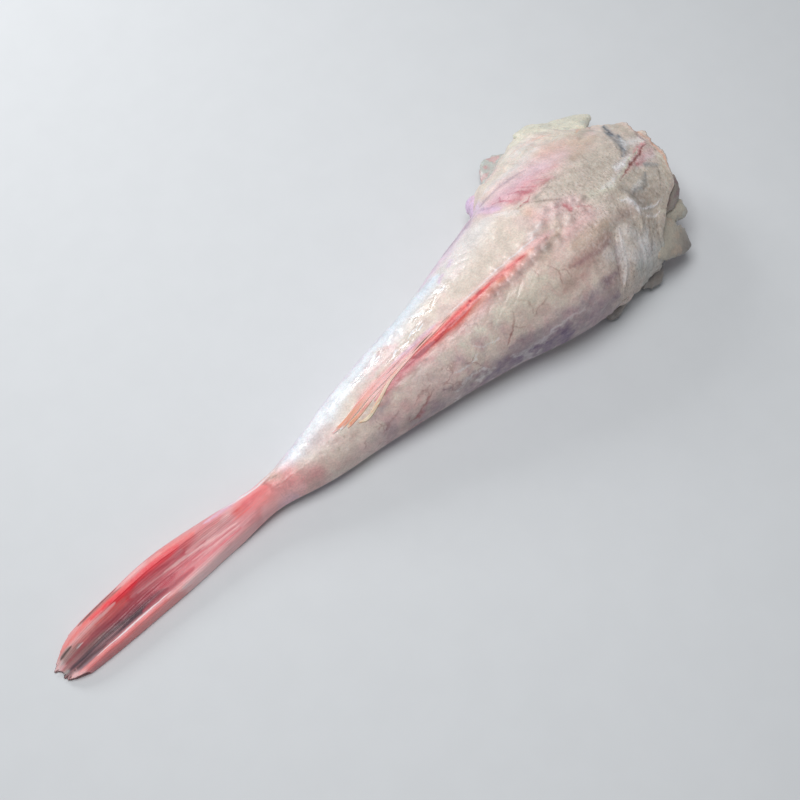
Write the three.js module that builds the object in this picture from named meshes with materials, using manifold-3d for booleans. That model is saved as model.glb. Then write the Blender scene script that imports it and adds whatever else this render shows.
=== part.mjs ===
// A monkfish tail, headless and frozen stiff, as it lies on a table. It is one piece of fish, so it is one
// solid: tapering flesh, a folded tail fin, a fin laid flat along the middle of the upper side, and the torn
// skirt of skin and flesh round the cut end.
//
// Millimetres, +Z up, head end towards +X, left side towards +Y. While the shapes are worked out, x = 0 is
// the waist, where the flesh ends and the tail fin begins, and z = 0 is the table. The finished solid is
// moved so that the origin is the middle of its footprint.

import * as THREE from "three";
import { mergeVertices } from "three/addons/utils/BufferGeometryUtils.js";
import Module from "manifold-3d";

// Driving dimensions. A profile is a list of stations, each [distance from the waist, size].
const FIN_LENGTH = 153;
const FLESH_LENGTH = 322;

const MID_LINE = [
  [-FIN_LENGTH, 10], [-125, 10.8], [-90, 11.6], [-50, 9.5], [0, 5], [25, 3], [60, 3.5], [110, 2], [150, 0.5],
  [205, -2.5], [240, -1], [FLESH_LENGTH, 0],
];
const HALF_WIDTH = [
  [-FIN_LENGTH, 9.5], [-140, 12], [-120, 13.8], [-75, 14.8], [-35, 11.6], [0, 10], [20, 14.2], [55, 20.5],
  [95, 27], [150, 37], [205, 49.4], [245, 52], [285, 49], [FLESH_LENGTH, 43],
];
const TOP_HEIGHT = [
  [-60, 16], [0, 21], [20, 26], [55, 35], [95, 45], [150, 57], [205, 65], [245, 64], [285, 54],
  [FLESH_LENGTH, 40],
];
// The narrow waist bridges between the flesh and the fin, a little clear of the table.
const UNDERSIDE = [[-60, 0], [-10, 3], [20, 3], [60, 0]];
const WIDEST_AT = 0.42; // share of the height at which the flesh is widest
const SECTION_POWER = { across: 2.2, over: 2.15, under: 3 }; // 2 is an ellipse, more is squarer
const FLAT_CUT = 1.5; // how far the table presses the underside flat

// Skin flaps beside the cut end spread outwards at their hem: the left one more than the right.
const LEFT_FLARE = [
  [198, 0], [206, 3], [214, 10], [235, 13], [255, 21], [275, 30], [295, 22], [FLESH_LENGTH, 6],
];
const RIGHT_FLARE = [[210, 0], [225, 1], [280, 1], [FLESH_LENGTH, 0]];
const HEM_SHARE = [[20, 0], [60, 0.4], [95, 1], [125, 0.65], [160, 0.1], [180, 0]]; // by degrees from the top
const HEM_DROP = { from: 200, to: 270, left: 0.3, right: 0.18 }; // share of the widest level

// The far rim of the cut end and the tip of the tail fin are uneven: [degrees from the top, station] and
// [place across the fin from -1 to 1, station].
const RIM_STATION = [
  [-180, 286], [-120, 284], [-85, 286], [-50, 297], [-15, 316], [12, 318], [42, FLESH_LENGTH], [85, 308],
  [130, 292], [180, 286],
];
const TIP_STATION = [[-1, -141], [-0.7, -149], [-0.25, -149], [0.2, -FIN_LENGTH], [0.55, -148], [1, -136]];
const RIM_SCALLOP = { depth: 2.6, waves: [7, 17] }; // waves in a full turn

// The slanting cut face lies inside the rim, domed, with the round end of the backbone standing out of its
// middle. A flesh ring is [share of the rim's outline, how far it stands in front of the slant], and a bone
// ring is [radius, the same].
const CUT_FACE = {
  middle: { station: 296, height: 21 },
  lipShare: 0.95,
  flesh: [[0.86, -6], [0.7, -3], [0.5, -2], [0.42, -2.5]],
  bone: [[7, -4], [6.4, 1.5], [3, 1.5]],
  pith: -2,
};

// The tail fin is a fan folded into a trough between two ridges: [station, height] of each form.
const FIN_BLEND = { from: 0, to: -45 };
const FIN_FLOOR = 1.2;
const FIN_EDGE = { flatness: 5, roundness: 0.45, underside: 0.6 };
const FIN_WEB = [[-FIN_LENGTH, 3], [-110, 4], [-60, 6], [-10, 10]];
const FIN_FOLDS = [
  { across: 0.55, spread: 0.36, height: [[-FIN_LENGTH, 4.5], [-120, 8], [-70, 9], [-20, 8]] },
  { across: 0.02, spread: 0.2, height: [[-120, 0], [-80, 3], [-40, 5], [0, 5]] },
  { across: -0.66, spread: 0.22, height: [[-FIN_LENGTH, 4], [-110, 6], [-60, 5], [-20, 3]] },
];

// Creases and rolls of the skin near the cut end: path of [station, place across], rise and half-width.
const SKIN_FOLDS = [
  { path: [[203, 45], [216, 40], [248, 36], [284, 33]], rise: -4, width: 4.5 },
  { path: [[206, 35], [222, 28], [244, 22], [262, 17]], rise: 2.5, width: 8 },
  { path: [[243, -30], [238, -39], [233, -52]], rise: -4, width: 4 },
  { path: [[252, -31], [247, -41], [243, -51]], rise: 2, width: 5 },
  { path: [[318, 8], [300, 2], [282, -4], [255, -9]], rise: 3, width: 4 },
  { path: [[212, -6], [226, -6]], rise: -3, width: 7 },
];

// Torn tabs of skin and flesh round the cut end: a root inside the flesh, a bend and a tip, and the direction
// of their width in plan. A blunter tab keeps its width nearer to the tip.
const TABS = [
  {
    root: [231, 39, 36], bend: [221, 51, 30], tip: [211, 59, 19],
    along: [1, 0.55], width: 20, thick: 12, blunt: 4,
  },
  {
    root: [262, 50, 14], bend: [253, 66, 11], tip: [244, 79.5, 8],
    along: [1, 0.75], width: 26, thick: 4, blunt: 10,
  },
  {
    root: [289, 37, 30], bend: [297, 53, 25], tip: [306.5, 68, 15],
    along: [1, -0.66], width: 48, thick: 8, blunt: 6,
  },
  {
    root: [285, -21, 36], bend: [296, -30, 34], tip: [305, -39, 27],
    along: [1, 1], width: 15, thick: 6, blunt: 4,
  },
  {
    root: [269, -32, 30], bend: [284, -44, 26], tip: [293.5, -53, 17],
    along: [1, 0.7], width: 24, thick: 6, blunt: 7,
  },
  {
    root: [258, -37, 12], bend: [264, -47, 9], tip: [268, -55.5, 6],
    along: [1, 0.3], width: 19, thick: 5, blunt: 6,
  },
  {
    root: [242, -36, 14], bend: [235, -46, 10], tip: [229, -54, 6],
    along: [1, -0.4], width: 15, thick: 6, blunt: 5,
  },
];
const TAB_END = { width: 0.04, thick: 0.08, thinning: 8 }; // what is left of a tab at its very tip

// The fin laid along the upper side: a low root ridge, then loose rays that end in free tips.
const BACK_FIN = {
  path: [[208, -6], [188, -4], [158, -1], [128, 0], [98, 0], [78, -1]],
  halfWidth: [[78, 3], [98, 5.5], [128, 5], [158, 4.2], [188, 3.2], [208, 1]],
  rise: [[78, 1.2], [98, 2.6], [128, 4], [158, 4], [188, 3], [208, 0.5]],
};
const RAYS = [
  { path: [[128, 2.5], [96, 3.5], [66, 0.5], [45, -2]], width: 4.2, thick: 3 },
  { path: [[140, -1], [98, -0.5], [70, -2], [52, -4]], width: 4.4, thick: 3.4 },
  { path: [[112, -3.5], [92, -3], [75, -5], [61, -8]], width: 3.4, thick: 3 },
];
const RIDGE_SINK = 0.5; // share of the root ridge's thickness that lies in the skin
const RAY_SINK = 0.25;
const RAY_TAPER = { start: -0.25, full: 0.2, bluntness: 6, end: 0.06 }; // by share of the ray's length

const SKIN_COLOUR = 0xd8c6ba;

// Mesh steps: columns over the upper side and under it, rows along each stretch.
const UPPER_COLUMNS = 34;
const LOWER_COLUMNS = 16;
const UPPER_HALF_ANGLE = THREE.MathUtils.degToRad(100);
const ROWS = [[-FIN_LENGTH, 24], [0, 19], [195, 23]]; // [start of the stretch, rows in it]
const TAB_MESH = { rows: 9, columns: 12, bunching: 1.6 }; // rows bunch towards the tip
const STRAND_COLUMNS = 8;
const RIDGE_ROWS = 22;
const RAY_ROWS = 14;
const HALVINGS = 30; // steps of the search for a point of the skin

// Smooth curve through the stations, level beyond both ends.
function curve(stations, x) {
  const last = stations.length - 1;
  if (x <= stations[0][0]) return stations[0][1];
  if (x >= stations[last][0]) return stations[last][1];
  const i = stations.findIndex((s, k) => k < last && x < stations[k + 1][0]);
  const slope = (k) =>
    k === 0 || k === last
      ? 0
      : weightedSlope(stations[k - 1], stations[k], stations[k + 1]);
  const [[x0, a], [x1, b]] = [stations[i], stations[i + 1]];
  const h = x1 - x0;
  const t = (x - x0) / h;
  const bent = slope(i) * h * t * (1 - t) ** 2 - slope(i + 1) * h * t * t * (1 - t);
  return a * (1 + 2 * t) * (1 - t) ** 2 + b * t * t * (3 - 2 * t) + bent;
}

// Slope at the middle of three stations, the nearer neighbour counting more.
function weightedSlope([x0, a], [x1, b], [x2, c]) {
  const before = x1 - x0;
  const after = x2 - x1;
  return (((b - a) / before) * after + ((c - b) / after) * before) / (before + after);
}

const ease = (x, from, to) => THREE.MathUtils.smoothstep((x - from) / (to - from), 0, 1);
const bell = (distance, width) => Math.exp(-((distance / width) ** 2));
const root = (value, power) => Math.sign(value) * Math.abs(value) ** (2 / power);

// Plan distance from (x, y) to a path of points.
function distanceToPath(x, y, path) {
  const here = new THREE.Vector3(x, y, 0);
  const near = new THREE.Vector3();
  let least = Infinity;
  for (let i = 0; i + 1 < path.length; i++) {
    const leg = new THREE.Line3(new THREE.Vector3(...path[i], 0), new THREE.Vector3(...path[i + 1], 0));
    leg.closestPointToPoint(here, true, near);
    least = Math.min(least, near.distanceTo(here));
  }
  return least;
}

// Height of the folded tail fin's upper side at a place across it.
function finHeight(x, across) {
  const { flatness, roundness } = FIN_EDGE;
  const edge = (1 - Math.min(1, Math.abs(across)) ** flatness) ** roundness;
  const folds = FIN_FOLDS.map((f) => curve(f.height, x) * bell(across - f.across, f.spread));
  return FIN_FLOOR + edge * folds.reduce((sum, h) => sum + h, curve(FIN_WEB, x));
}

// Point of the skin at a station and an angle from the top, positive to the left.
function skinPoint(x, angle) {
  const [sine, cosine] = [Math.sin(angle), Math.cos(angle)];
  const degrees = THREE.MathUtils.radToDeg(angle);
  const [top, under] = [curve(TOP_HEIGHT, x), curve(UNDERSIDE, x)];
  const widest = under + (top - under) * WIDEST_AT;
  const across = root(sine, SECTION_POWER.across);
  const left = curve(HEM_SHARE, degrees);
  const right = curve(HEM_SHARE, -degrees);
  const flare = curve(LEFT_FLARE, x) * left - curve(RIGHT_FLARE, x) * right;
  const y = curve(MID_LINE, x) + curve(HALF_WIDTH, x) * across + flare;
  const upper = cosine >= 0;
  let z = upper
    ? widest + (top - widest) * root(cosine, SECTION_POWER.over)
    : widest + (widest - under + FLAT_CUT) * root(cosine, SECTION_POWER.under);
  z -= ease(x, HEM_DROP.from, HEM_DROP.to) * widest * (HEM_DROP.left * left + HEM_DROP.right * right);
  if (upper) for (const f of SKIN_FOLDS) z += f.rise * bell(distanceToPath(x, y, f.path), f.width);
  const finUnder = FIN_FLOOR - (FIN_FLOOR + FLAT_CUT) * Math.abs(cosine) ** FIN_EDGE.underside;
  const finZ = upper ? finHeight(x, across) : finUnder;
  z += (finZ - z) * ease(x, FIN_BLEND.from, FIN_BLEND.to);
  return new THREE.Vector3(x, y, Math.max(z, 0));
}

// Point of the upper skin straight above a place in the plan.
function onSkin(x, y) {
  let [low, high] = [-Math.PI / 2, Math.PI / 2];
  for (let i = 0; i < HALVINGS; i++) {
    const middle = (low + high) / 2;
    if (skinPoint(x, middle).y < y) low = middle;
    else high = middle;
  }
  return skinPoint(x, (low + high) / 2);
}

// Closed solid through rings of points, each end drawn in to its middle or to the point given.
function loft(rings, startPole, endPole) {
  const columns = rings[0].length;
  const middle = (ring) => ring.reduce((sum, p) => sum.add(p), new THREE.Vector3()).divideScalar(columns);
  const points = [...rings.flat(), startPole ?? middle(rings[0]), endPole ?? middle(rings[rings.length - 1])];
  const [start, end] = [points.length - 2, points.length - 1];
  const index = [];
  for (let j = 0; j < columns; j++) {
    const k = (j + 1) % columns;
    const last = (rings.length - 1) * columns;
    index.push(start, j, k, end, last + k, last + j);
    for (let i = 0; i < last; i += columns) {
      const [a, b, c, d] = [i + j, i + k, i + columns + k, i + columns + j];
      index.push(a, c, b, a, d, c);
    }
  }
  return new THREE.BufferGeometry().setFromPoints(points).setIndex(index);
}

// Flesh and tail fin: rings of skin from the fin's tip to the rim, then rings of the cut face.
function fleshAndFin() {
  const angles = [];
  for (let j = 0; j < UPPER_COLUMNS; j++) angles.push(UPPER_HALF_ANGLE * ((2 * j) / UPPER_COLUMNS - 1));
  const under = 2 * (Math.PI - UPPER_HALF_ANGLE);
  for (let j = 0; j < LOWER_COLUMNS; j++) angles.push(UPPER_HALF_ANGLE + (under * j) / LOWER_COLUMNS);
  const turned = angles.map((a) => (a > Math.PI ? a - 2 * Math.PI : a));

  const stations = ROWS.flatMap(([from, count], i) => {
    const to = i + 1 < ROWS.length ? ROWS[i + 1][0] : FLESH_LENGTH;
    return Array.from({ length: count }, (_, k) => from + ((to - from) * k) / count);
  });
  stations.push(FLESH_LENGTH);
  const smoothRim = turned.map((a) => skinPoint(curve(RIM_STATION, THREE.MathUtils.radToDeg(a)), a));
  const ends = turned.map((a, j) => ({
    tip: curve(TIP_STATION, Math.sin(a)),
    rim: smoothRim[j].x - scallop(a),
  }));
  const rings = stations.map((station) => {
    const share = (station + FIN_LENGTH) / (FLESH_LENGTH + FIN_LENGTH);
    return turned.map((a, j) => skinPoint(THREE.MathUtils.lerp(ends[j].tip, ends[j].rim, share), a));
  });

  const { middle, lipShare, flesh, bone, pith } = CUT_FACE;
  const heart = new THREE.Vector3(middle.station, curve(MID_LINE, middle.station), middle.height);
  const inFront = (distance) => heart.clone().setX(heart.x + distance);
  const rim = rings[rings.length - 1];
  rings.push(rim.map((p) => heart.clone().lerp(p, lipShare).setX(p.x)));
  for (const [share, stand] of flesh) rings.push(smoothRim.map((p) => inFront(stand).lerp(p, share)));
  const outwards = (a) => new THREE.Vector3(0, Math.sin(a), Math.cos(a));
  for (const [radius, stand] of bone)
    rings.push(turned.map((a) => inFront(stand).addScaledVector(outwards(a), radius)));
  return loft(rings, null, inFront(pith));
}

// How far the rim is nibbled back at an angle.
function scallop(angle) {
  const { depth, waves } = RIM_SCALLOP;
  const sum = waves.reduce((total, count) => total + (1 + Math.sin(count * angle)) / 2, 0);
  return (depth * sum) / waves.length;
}

// Flattened finger of skin from its root to a blunt tip, bent over on the way.
function tab({ root: base, bend, tip, along, width, thick, blunt }) {
  const { rows, columns, bunching } = TAB_MESH;
  const path = new THREE.QuadraticBezierCurve3(
    new THREE.Vector3(...base), new THREE.Vector3(...bend), new THREE.Vector3(...tip),
  );
  const wide = new THREE.Vector3(...along, 0).normalize();
  const rings = [];
  for (let i = 0; i < rows; i++) {
    const t = 1 - (1 - i / (rows - 1)) ** bunching;
    const centre = path.getPoint(t);
    const flat = path.getTangent(t).cross(wide).normalize();
    const halfWidth = (width / 2) * (Math.sqrt(1 - t ** blunt) + TAB_END.width);
    const halfThick = (thick / 2) * (Math.sqrt(1 - t ** TAB_END.thinning) + TAB_END.thick);
    rings.push(ellipse(centre, wide, flat, halfWidth, halfThick, columns));
  }
  return loft(rings);
}

// Ring of points round a centre, spread along two directions.
function ellipse(centre, first, second, firstHalf, secondHalf, columns) {
  return Array.from({ length: columns }, (_, j) => {
    const a = (2 * Math.PI * j) / columns;
    return centre
      .clone()
      .addScaledVector(first, -firstHalf * Math.cos(a))
      .addScaledVector(second, secondHalf * Math.sin(a));
  });
}

// Strand laid over the skin along a plan path, with its half-width and rise at each place.
function strand(path, halfWidth, rise, sink, rows) {
  const line = new THREE.SplineCurve(path.map(([x, y]) => new THREE.Vector2(x, y)));
  const rings = [];
  for (let i = 0; i < rows; i++) {
    const t = i / (rows - 1);
    const spot = line.getPoint(t);
    const heading = line.getTangent(t);
    const centre = onSkin(spot.x, spot.y);
    const sideways = new THREE.Vector3(-heading.y, heading.x, 0);
    const upwards = new THREE.Vector3(0, 0, 1);
    centre.z += rise(spot.x, t) * (0.5 - sink);
    rings.push(ellipse(centre, sideways, upwards, halfWidth(spot.x, t), rise(spot.x, t) / 2, STRAND_COLUMNS));
  }
  return loft(rings);
}

function backFinRoot() {
  const { path, halfWidth, rise } = BACK_FIN;
  return strand(path, (x) => curve(halfWidth, x), (x) => curve(rise, x) / RIDGE_SINK, RIDGE_SINK, RIDGE_ROWS);
}

function ray({ path, width, thick }) {
  const { start, full, bluntness, end } = RAY_TAPER;
  const taper = (t) => Math.sqrt(1 - t ** bluntness) * ease(t, start, full) + end;
  return strand(path, (x, t) => (width / 2) * taper(t), (x, t) => thick * taper(t), RAY_SINK, RAY_ROWS);
}

const wasm = await Module();
wasm.setup();

function solidOf(geometry) {
  const merged = mergeVertices(geometry);
  return new wasm.Manifold(
    new wasm.Mesh({
      numProp: 3,
      vertProperties: merged.attributes.position.array,
      triVerts: new Uint32Array(merged.index.array),
    }),
  );
}

function geometryOf(solid) {
  const mesh = solid.getMesh();
  return new THREE.BufferGeometry()
    .setAttribute("position", new THREE.BufferAttribute(mesh.vertProperties, mesh.numProp))
    .setIndex(new THREE.BufferAttribute(mesh.triVerts, 1));
}

const pieces = [...TABS.map((t) => tab(t)), backFinRoot(), ...RAYS.map(ray)];
const fish = pieces.reduce((whole, piece) => whole.add(solidOf(piece)), solidOf(fleshAndFin()));

const geometry = geometryOf(fish);
geometry.computeBoundingBox();
const { min, max } = geometry.boundingBox;
geometry.translate(-(min.x + max.x) / 2, -(min.y + max.y) / 2, -min.z);
geometry.computeVertexNormals();

const tail = new THREE.Mesh(
  geometry,
  new THREE.MeshStandardMaterial({ color: SKIN_COLOUR, roughness: 0.4, metalness: 0 }),
);
tail.name = "monkfish_tail";

const group = new THREE.Group();
group.add(tail);
export default group;
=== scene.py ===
"""Looks of a frozen monkfish tail, built over its plain solid.

The file is laid out as an add-on and is run as a script. Shapes are worked out in millimetres in the tail's
own plan: x = 0 is the waist, where the flesh ends and the tail fin begins, +x runs to the cut end, +y to the
left, and z = 0 is the table. Everything is put into the solid's frame, in metres, when a mesh is made.
"""

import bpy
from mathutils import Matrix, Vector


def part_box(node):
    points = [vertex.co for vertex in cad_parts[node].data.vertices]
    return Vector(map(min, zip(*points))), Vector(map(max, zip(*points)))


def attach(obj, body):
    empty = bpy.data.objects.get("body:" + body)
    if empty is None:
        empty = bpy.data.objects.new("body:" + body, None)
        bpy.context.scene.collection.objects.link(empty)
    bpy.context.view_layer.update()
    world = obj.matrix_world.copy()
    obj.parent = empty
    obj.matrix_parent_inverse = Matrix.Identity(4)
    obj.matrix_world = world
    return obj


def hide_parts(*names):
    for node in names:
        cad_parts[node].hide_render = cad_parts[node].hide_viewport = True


bl_info = {
    "name": "Frozen Monkfish Tail",
    "version": (1, 0, 0),
    "blender": (4, 5, 0),
    "location": "3D View > Sidebar > Monkfish",
    "description": "Builds a frozen monkfish tail: skin, folded tail fin, laid fin, torn flaps and cut flesh",
    "category": "Object",
}

from collections import namedtuple

import bmesh
import bpy
import numpy as np
from bpy.props import FloatProperty, FloatVectorProperty, PointerProperty
from mathutils import Vector, noise
from mathutils.bvhtree import BVHTree

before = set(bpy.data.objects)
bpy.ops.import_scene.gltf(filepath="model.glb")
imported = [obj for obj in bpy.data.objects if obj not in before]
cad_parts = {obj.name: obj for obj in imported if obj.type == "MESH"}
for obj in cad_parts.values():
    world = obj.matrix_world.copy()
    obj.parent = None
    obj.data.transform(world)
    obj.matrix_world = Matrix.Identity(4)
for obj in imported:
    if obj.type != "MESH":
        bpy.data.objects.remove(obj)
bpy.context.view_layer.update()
SOLID = "monkfish_tail"
BODY = "root"
SOLID_LOW, SOLID_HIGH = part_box(SOLID)

MM = 0.001
FIN_LENGTH = 153.0
FLESH_LENGTH = 322.0
LEFT_REACH = 83.3  # waist line to the outermost torn bit on the left
WAIST = np.array([SOLID_LOW.x + FIN_LENGTH * MM, SOLID_HIGH.y - LEFT_REACH * MM, SOLID_LOW.z])

# Profiles of the flesh: (station, size).
MID_LINE = [
    (-153, 10), (-125, 10.8), (-90, 11.6), (-50, 9.5), (0, 5), (25, 3), (60, 3.5), (110, 2), (150, 0.5),
    (205, -2.5), (240, -1), (322, 0),
]
HALF_WIDTH = [
    (-153, 9.5), (-140, 12), (-120, 13.8), (-75, 14.8), (-35, 11.6), (0, 10), (20, 14.2), (55, 20.5),
    (95, 27), (150, 37), (205, 49.4), (245, 52), (285, 49), (322, 43),
]
LEFT_TRIM = [
    (-125, 0), (-112, 0.4), (-100, 0.8), (-88, 0.3), (-76, 0), (-50, 0.2), (-25, 1.2), (0, 1.7), (30, 1.2),
    (60, 1), (100, 1.9), (130, 2.4), (155, 1), (180, 0),
]
TOP_HEIGHT = [
    (-60, 16), (0, 21), (20, 26), (55, 35), (95, 45), (150, 57), (205, 65), (245, 64), (285, 54), (322, 40),
]
UNDERSIDE = [(-60, 0), (-10, 3), (20, 3), (60, 0)]
WIDEST_AT = 0.42
ACROSS_POWER, OVER_POWER, UNDER_POWER = 2.2, 2.15, 3.0
FLAT_CUT = 1.5

# The skin flaps spread out at their hem beside the cut end. HEM_SHARE goes by degrees from the top.
LEFT_FLARE = [
    (198, 0), (206, 3), (214, 10), (235, 13), (255, 21), (272, 29), (282, 29), (288, 24), (296, 17),
    (308, 11), (322, 6),
]
RIGHT_FLARE = [(210, 0), (225, 1), (270, 1.5), (286, 3), (298, 2), (322, 0)]
HEM_SHARE = [(20, 0), (60, 0.4), (95, 1), (125, 0.65), (160, 0.1), (180, 0)]
HEM_WAVE = 1.7
HEM_SIDES_APART, HEM_UPRIGHT = 40, 3  # the waves differ from side to side, and stand upright
HEM_DROP_FROM, HEM_DROP_TO, HEM_DROP_LEFT, HEM_DROP_RIGHT = 200, 270, 0.3, 0.18

# Uneven ends: the rim by degrees from the top, the fin's tip by place across it.
RIM_STATION = [
    (-180, 286), (-130, 278), (-110, 271), (-85, 269), (-66, 271), (-54, 277), (-43, 286.5), (-38, 294),
    (-34, 302), (-28, 307.5), (-21, 311.5), (-12, 316), (2, 320), (10, 322), (17, 323.5), (24, 321.5),
    (42, 321), (60, 315), (85, 306), (130, 292), (180, 286),
]
TIP_STATION = [(-1, -140), (-0.75, -148.5), (-0.45, -151), (0, -151), (0.25, -152.5), (0.55, -149), (1, -136)]
TIP_HOLLOW = 1.5
TIP_EVEN_FROM, RIM_EVEN_TO = -20, 190  # the uneven ends reach no further in than this
RIM_SCALLOP_DEPTH = 2.6
RIM_SCALLOP_WAVES = (7, 17)

# The tail fin is folded into a trough between two ridges.
FIN_BLEND_FROM, FIN_BLEND_TO = 0, -45
FIN_FLOOR = 1.2
FIN_EDGE_FLATNESS, FIN_EDGE_ROUNDNESS, FIN_UNDERSIDE = 14, 0.42, 0.6
FIN_WEB = [(-153, 0.3), (-144, 2), (-130, 4), (-110, 4.8), (-80, 6.6), (-50, 10), (-10, 14)]
FinFold = namedtuple("FinFold", "across spread height")
FIN_FOLDS = [
    FinFold(0.48, 0.4, [(-153, 0.5), (-142, 3.4), (-125, 6.2), (-80, 6), (-50, 4), (-10, 3)]),
    FinFold(-0.84, 0.28, [(-153, 0.4), (-142, 1.8), (-115, 3), (-80, 2.4), (-52, 1.2), (-28, 0)]),
]
RAY_SPREAD = 13  # width that the fin's streaks are laid out for
RAY_WAVES = (11, 27)  # fin rays from side to side: strong ones and the finer ones between

# The skin is made in pieces from station to station, each with its finish and its number of rows.
SkinPart = namedtuple("SkinPart", "name slot start end rows")
TAIL_FIN = SkinPart("tail_fin", "fin", -FIN_LENGTH, 0, 236)
FLANK = SkinPart("flank_skin", "skin", 0, 186, 306)
HOOD = SkinPart("hood_skin", "skin", 186, FLESH_LENGTH, 298)
UPPER_COLUMNS, LOWER_COLUMNS = 264, 44
UPPER_HALF_TURN = 100

# The long crease across the far side of the hood, which folds the skin; the dark red line painted along it is
# partly the skin's own colour and partly painted shade in the crease.
FAR_CREASE = [(306, 4.4), (300, 1.4), (293.7, -0.5), (287.5, -1.8), (280, -3.6)]

# A fold raises or sinks the skin along a path: rise, half-width, points in the plan.
Fold = namedtuple("Fold", "rise width path")
BIG_FOLDS = [
    Fold(-0.8, 4, [(203, 45), (216, 40), (248, 36), (284, 33)]),
    Fold(1.2, 8, [(206, 35), (222, 28), (244, 22), (262, 17)]),
    Fold(-3, 4.5, [(242, -28), (236, -38), (230, -52)]),
    Fold(2, 5, [(252, -31), (247, -41), (243, -51)]),
    Fold(1.4, 4, [(266, -18), (262, -30), (256, -44)]),
    Fold(-1.4, 4, [(275, -32), (268, -42), (262, -52)]),
    Fold(0.5, 4, [(318, 8), (300, 2), (282, -4), (255, -9)]),
    Fold(-1.2, 7, [(210, -6), (224, -6)]),
]
FINE_FOLDS = [
    Fold(1.2, 3.6, [(207, -5.4), (190, -4.6), (165, -3.8), (140, -3.2), (120, -2.6), (104, -1.6)]),
    Fold(0.3, 0.7, [(202, -1.4), (185, -1), (165, 0), (150, 0.6), (134, 1)]),
    Fold(-0.6, 1.2, [(220, 16.2), (226, 11.8), (231, 7.5), (234.4, 3.7)]),
    Fold(0.5, 1.8, [(222, 18.5), (229, 14), (235, 9), (238, 3)]),
    Fold(-0.35, 1.4, [(203, 45), (212, 44.5), (225, 43), (238, 41)]),
    Fold(0.5, 2.4, [(206, 48.5), (216, 48), (230, 46.5), (246, 44)]),
    Fold(-0.4, 1.5, [(230.6, -2), (230.6, 2)]),
    Fold(-0.25, 1.1, [(229, -1), (224, 4), (219, 6)]),
    Fold(-0.25, 1.1, [(231, 0), (237, 4), (243, 5)]),
    Fold(-0.25, 1.1, [(230, -2), (232, -9), (231, -14)]),
    Fold(-0.25, 1.4, [(218, -5.4), (211, -6.6), (204, -7.4)]),
    Fold(-0.25, 1.2, [(226, -2), (219, -8), (213, -11)]),
    Fold(-0.3, 0.9, [(233, -2), (240, -4), (247, -3)]),
    Fold(1.3, 1.7, [(246, -28.4), (242, -33.8), (238, -40), (235.6, -46), (230, -51)]),
    Fold(-0.8, 2.2, [(241.5, -30), (237.5, -36), (233, -43), (228.5, -49)]),
    Fold(-0.4, 0.8, [(313, 7), *FAR_CREASE, (272, -6.2)]),
    Fold(0.45, 0.9, [(306, 7), (299, 4.2), (290, 2), (280, -0.6), (268, -4.6)]),
    Fold(-0.5, 1.4, [(311, 37), (305, 30), (302, 22), (297, 13), (289, 6)]),
    Fold(0.4, 1.6, [(308, 38), (301, 30), (297, 21), (291, 13)]),
    Fold(0.6, 1.3, [(258, -16), (263, -20), (265.5, -25), (263, -31), (258, -37)]),
    Fold(0.4, 0.8, [(266, -26.5), (271, -29), (277, -30), (285, -29.5)]),
    Fold(-0.4, 1.2, [(268, -31), (262, -39), (258, -49)]),
    Fold(-0.4, 1.2, [(275, -34), (269, -43), (266, -51)]),
    Fold(0.5, 1.5, [(254, -38), (252, -46), (250, -52)]),
    Fold(-0.5, 1.2, [(288.5, 42), (296, 45.5), (304, 49)]),
    Fold(-0.5, 0.9, [(302, 41), (308, 45.5), (314, 50)]),
    Fold(0.5, 1.4, [(245, 52), (258, 55), (270, 56)]),
    Fold(-0.5, 1.2, [(240, 55), (252, 60), (262, 63)]),
]
# A step in the skin: the side to the left of the path lies higher, over an edge of this half-width.
Step = namedtuple("Step", "rise width path")
STEPS = [
    Step(0.9, 0.8, [(226, 19), (216, 20.5), (207, 23.6), (200.6, 28.7), (198, 36), (201, 46)]),
    Step(0.8, 0.8, [(-20, 13.4), (-10, 13), (-3, 9.6), (-1.5, 5), (-3, 1.5)]),
]
LUMPS = [
    (158, -8), (167, -8.4), (176, -8.8), (185, -9.1), (194, -9.4), (203, -10), (211, -11), (172, 0.8),
    (182, 0.4), (192, 0.4), (202, 1), (211, 3), (219, 8), (226, 6), (222, 1), (236, 3), (226, -6), (235, -7),
    (218, -4), (241, -1),
]
LUMP_RISE, LUMP_WIDTH = 1.6, 2.8

# The wettest spots, where the skin glints.
WET_SPOTS = [
    [(70, 13), (77, 13.5)], [(82, 13), (89, 14.5)], [(89, 13.4), (96, 18)], [(90, 6.4), (100, 7)],
    [(103, 6.6), (113, 5.6)], [(110, 8.6), (122, 9.4)], [(120, 16), (126, 13.6)], [(130, 11.6), (136, 15)],
    [(140, 17.4), (146, 16.4)], [(48, 12), (56, 13)], [(24, 7), (31, 7.4)], [(270, 49), (275, 46)],
    [(256, 52), (260, 53)],
]
WET_WIDTH, WET_RIPPLE = 3, 0.3
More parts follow.
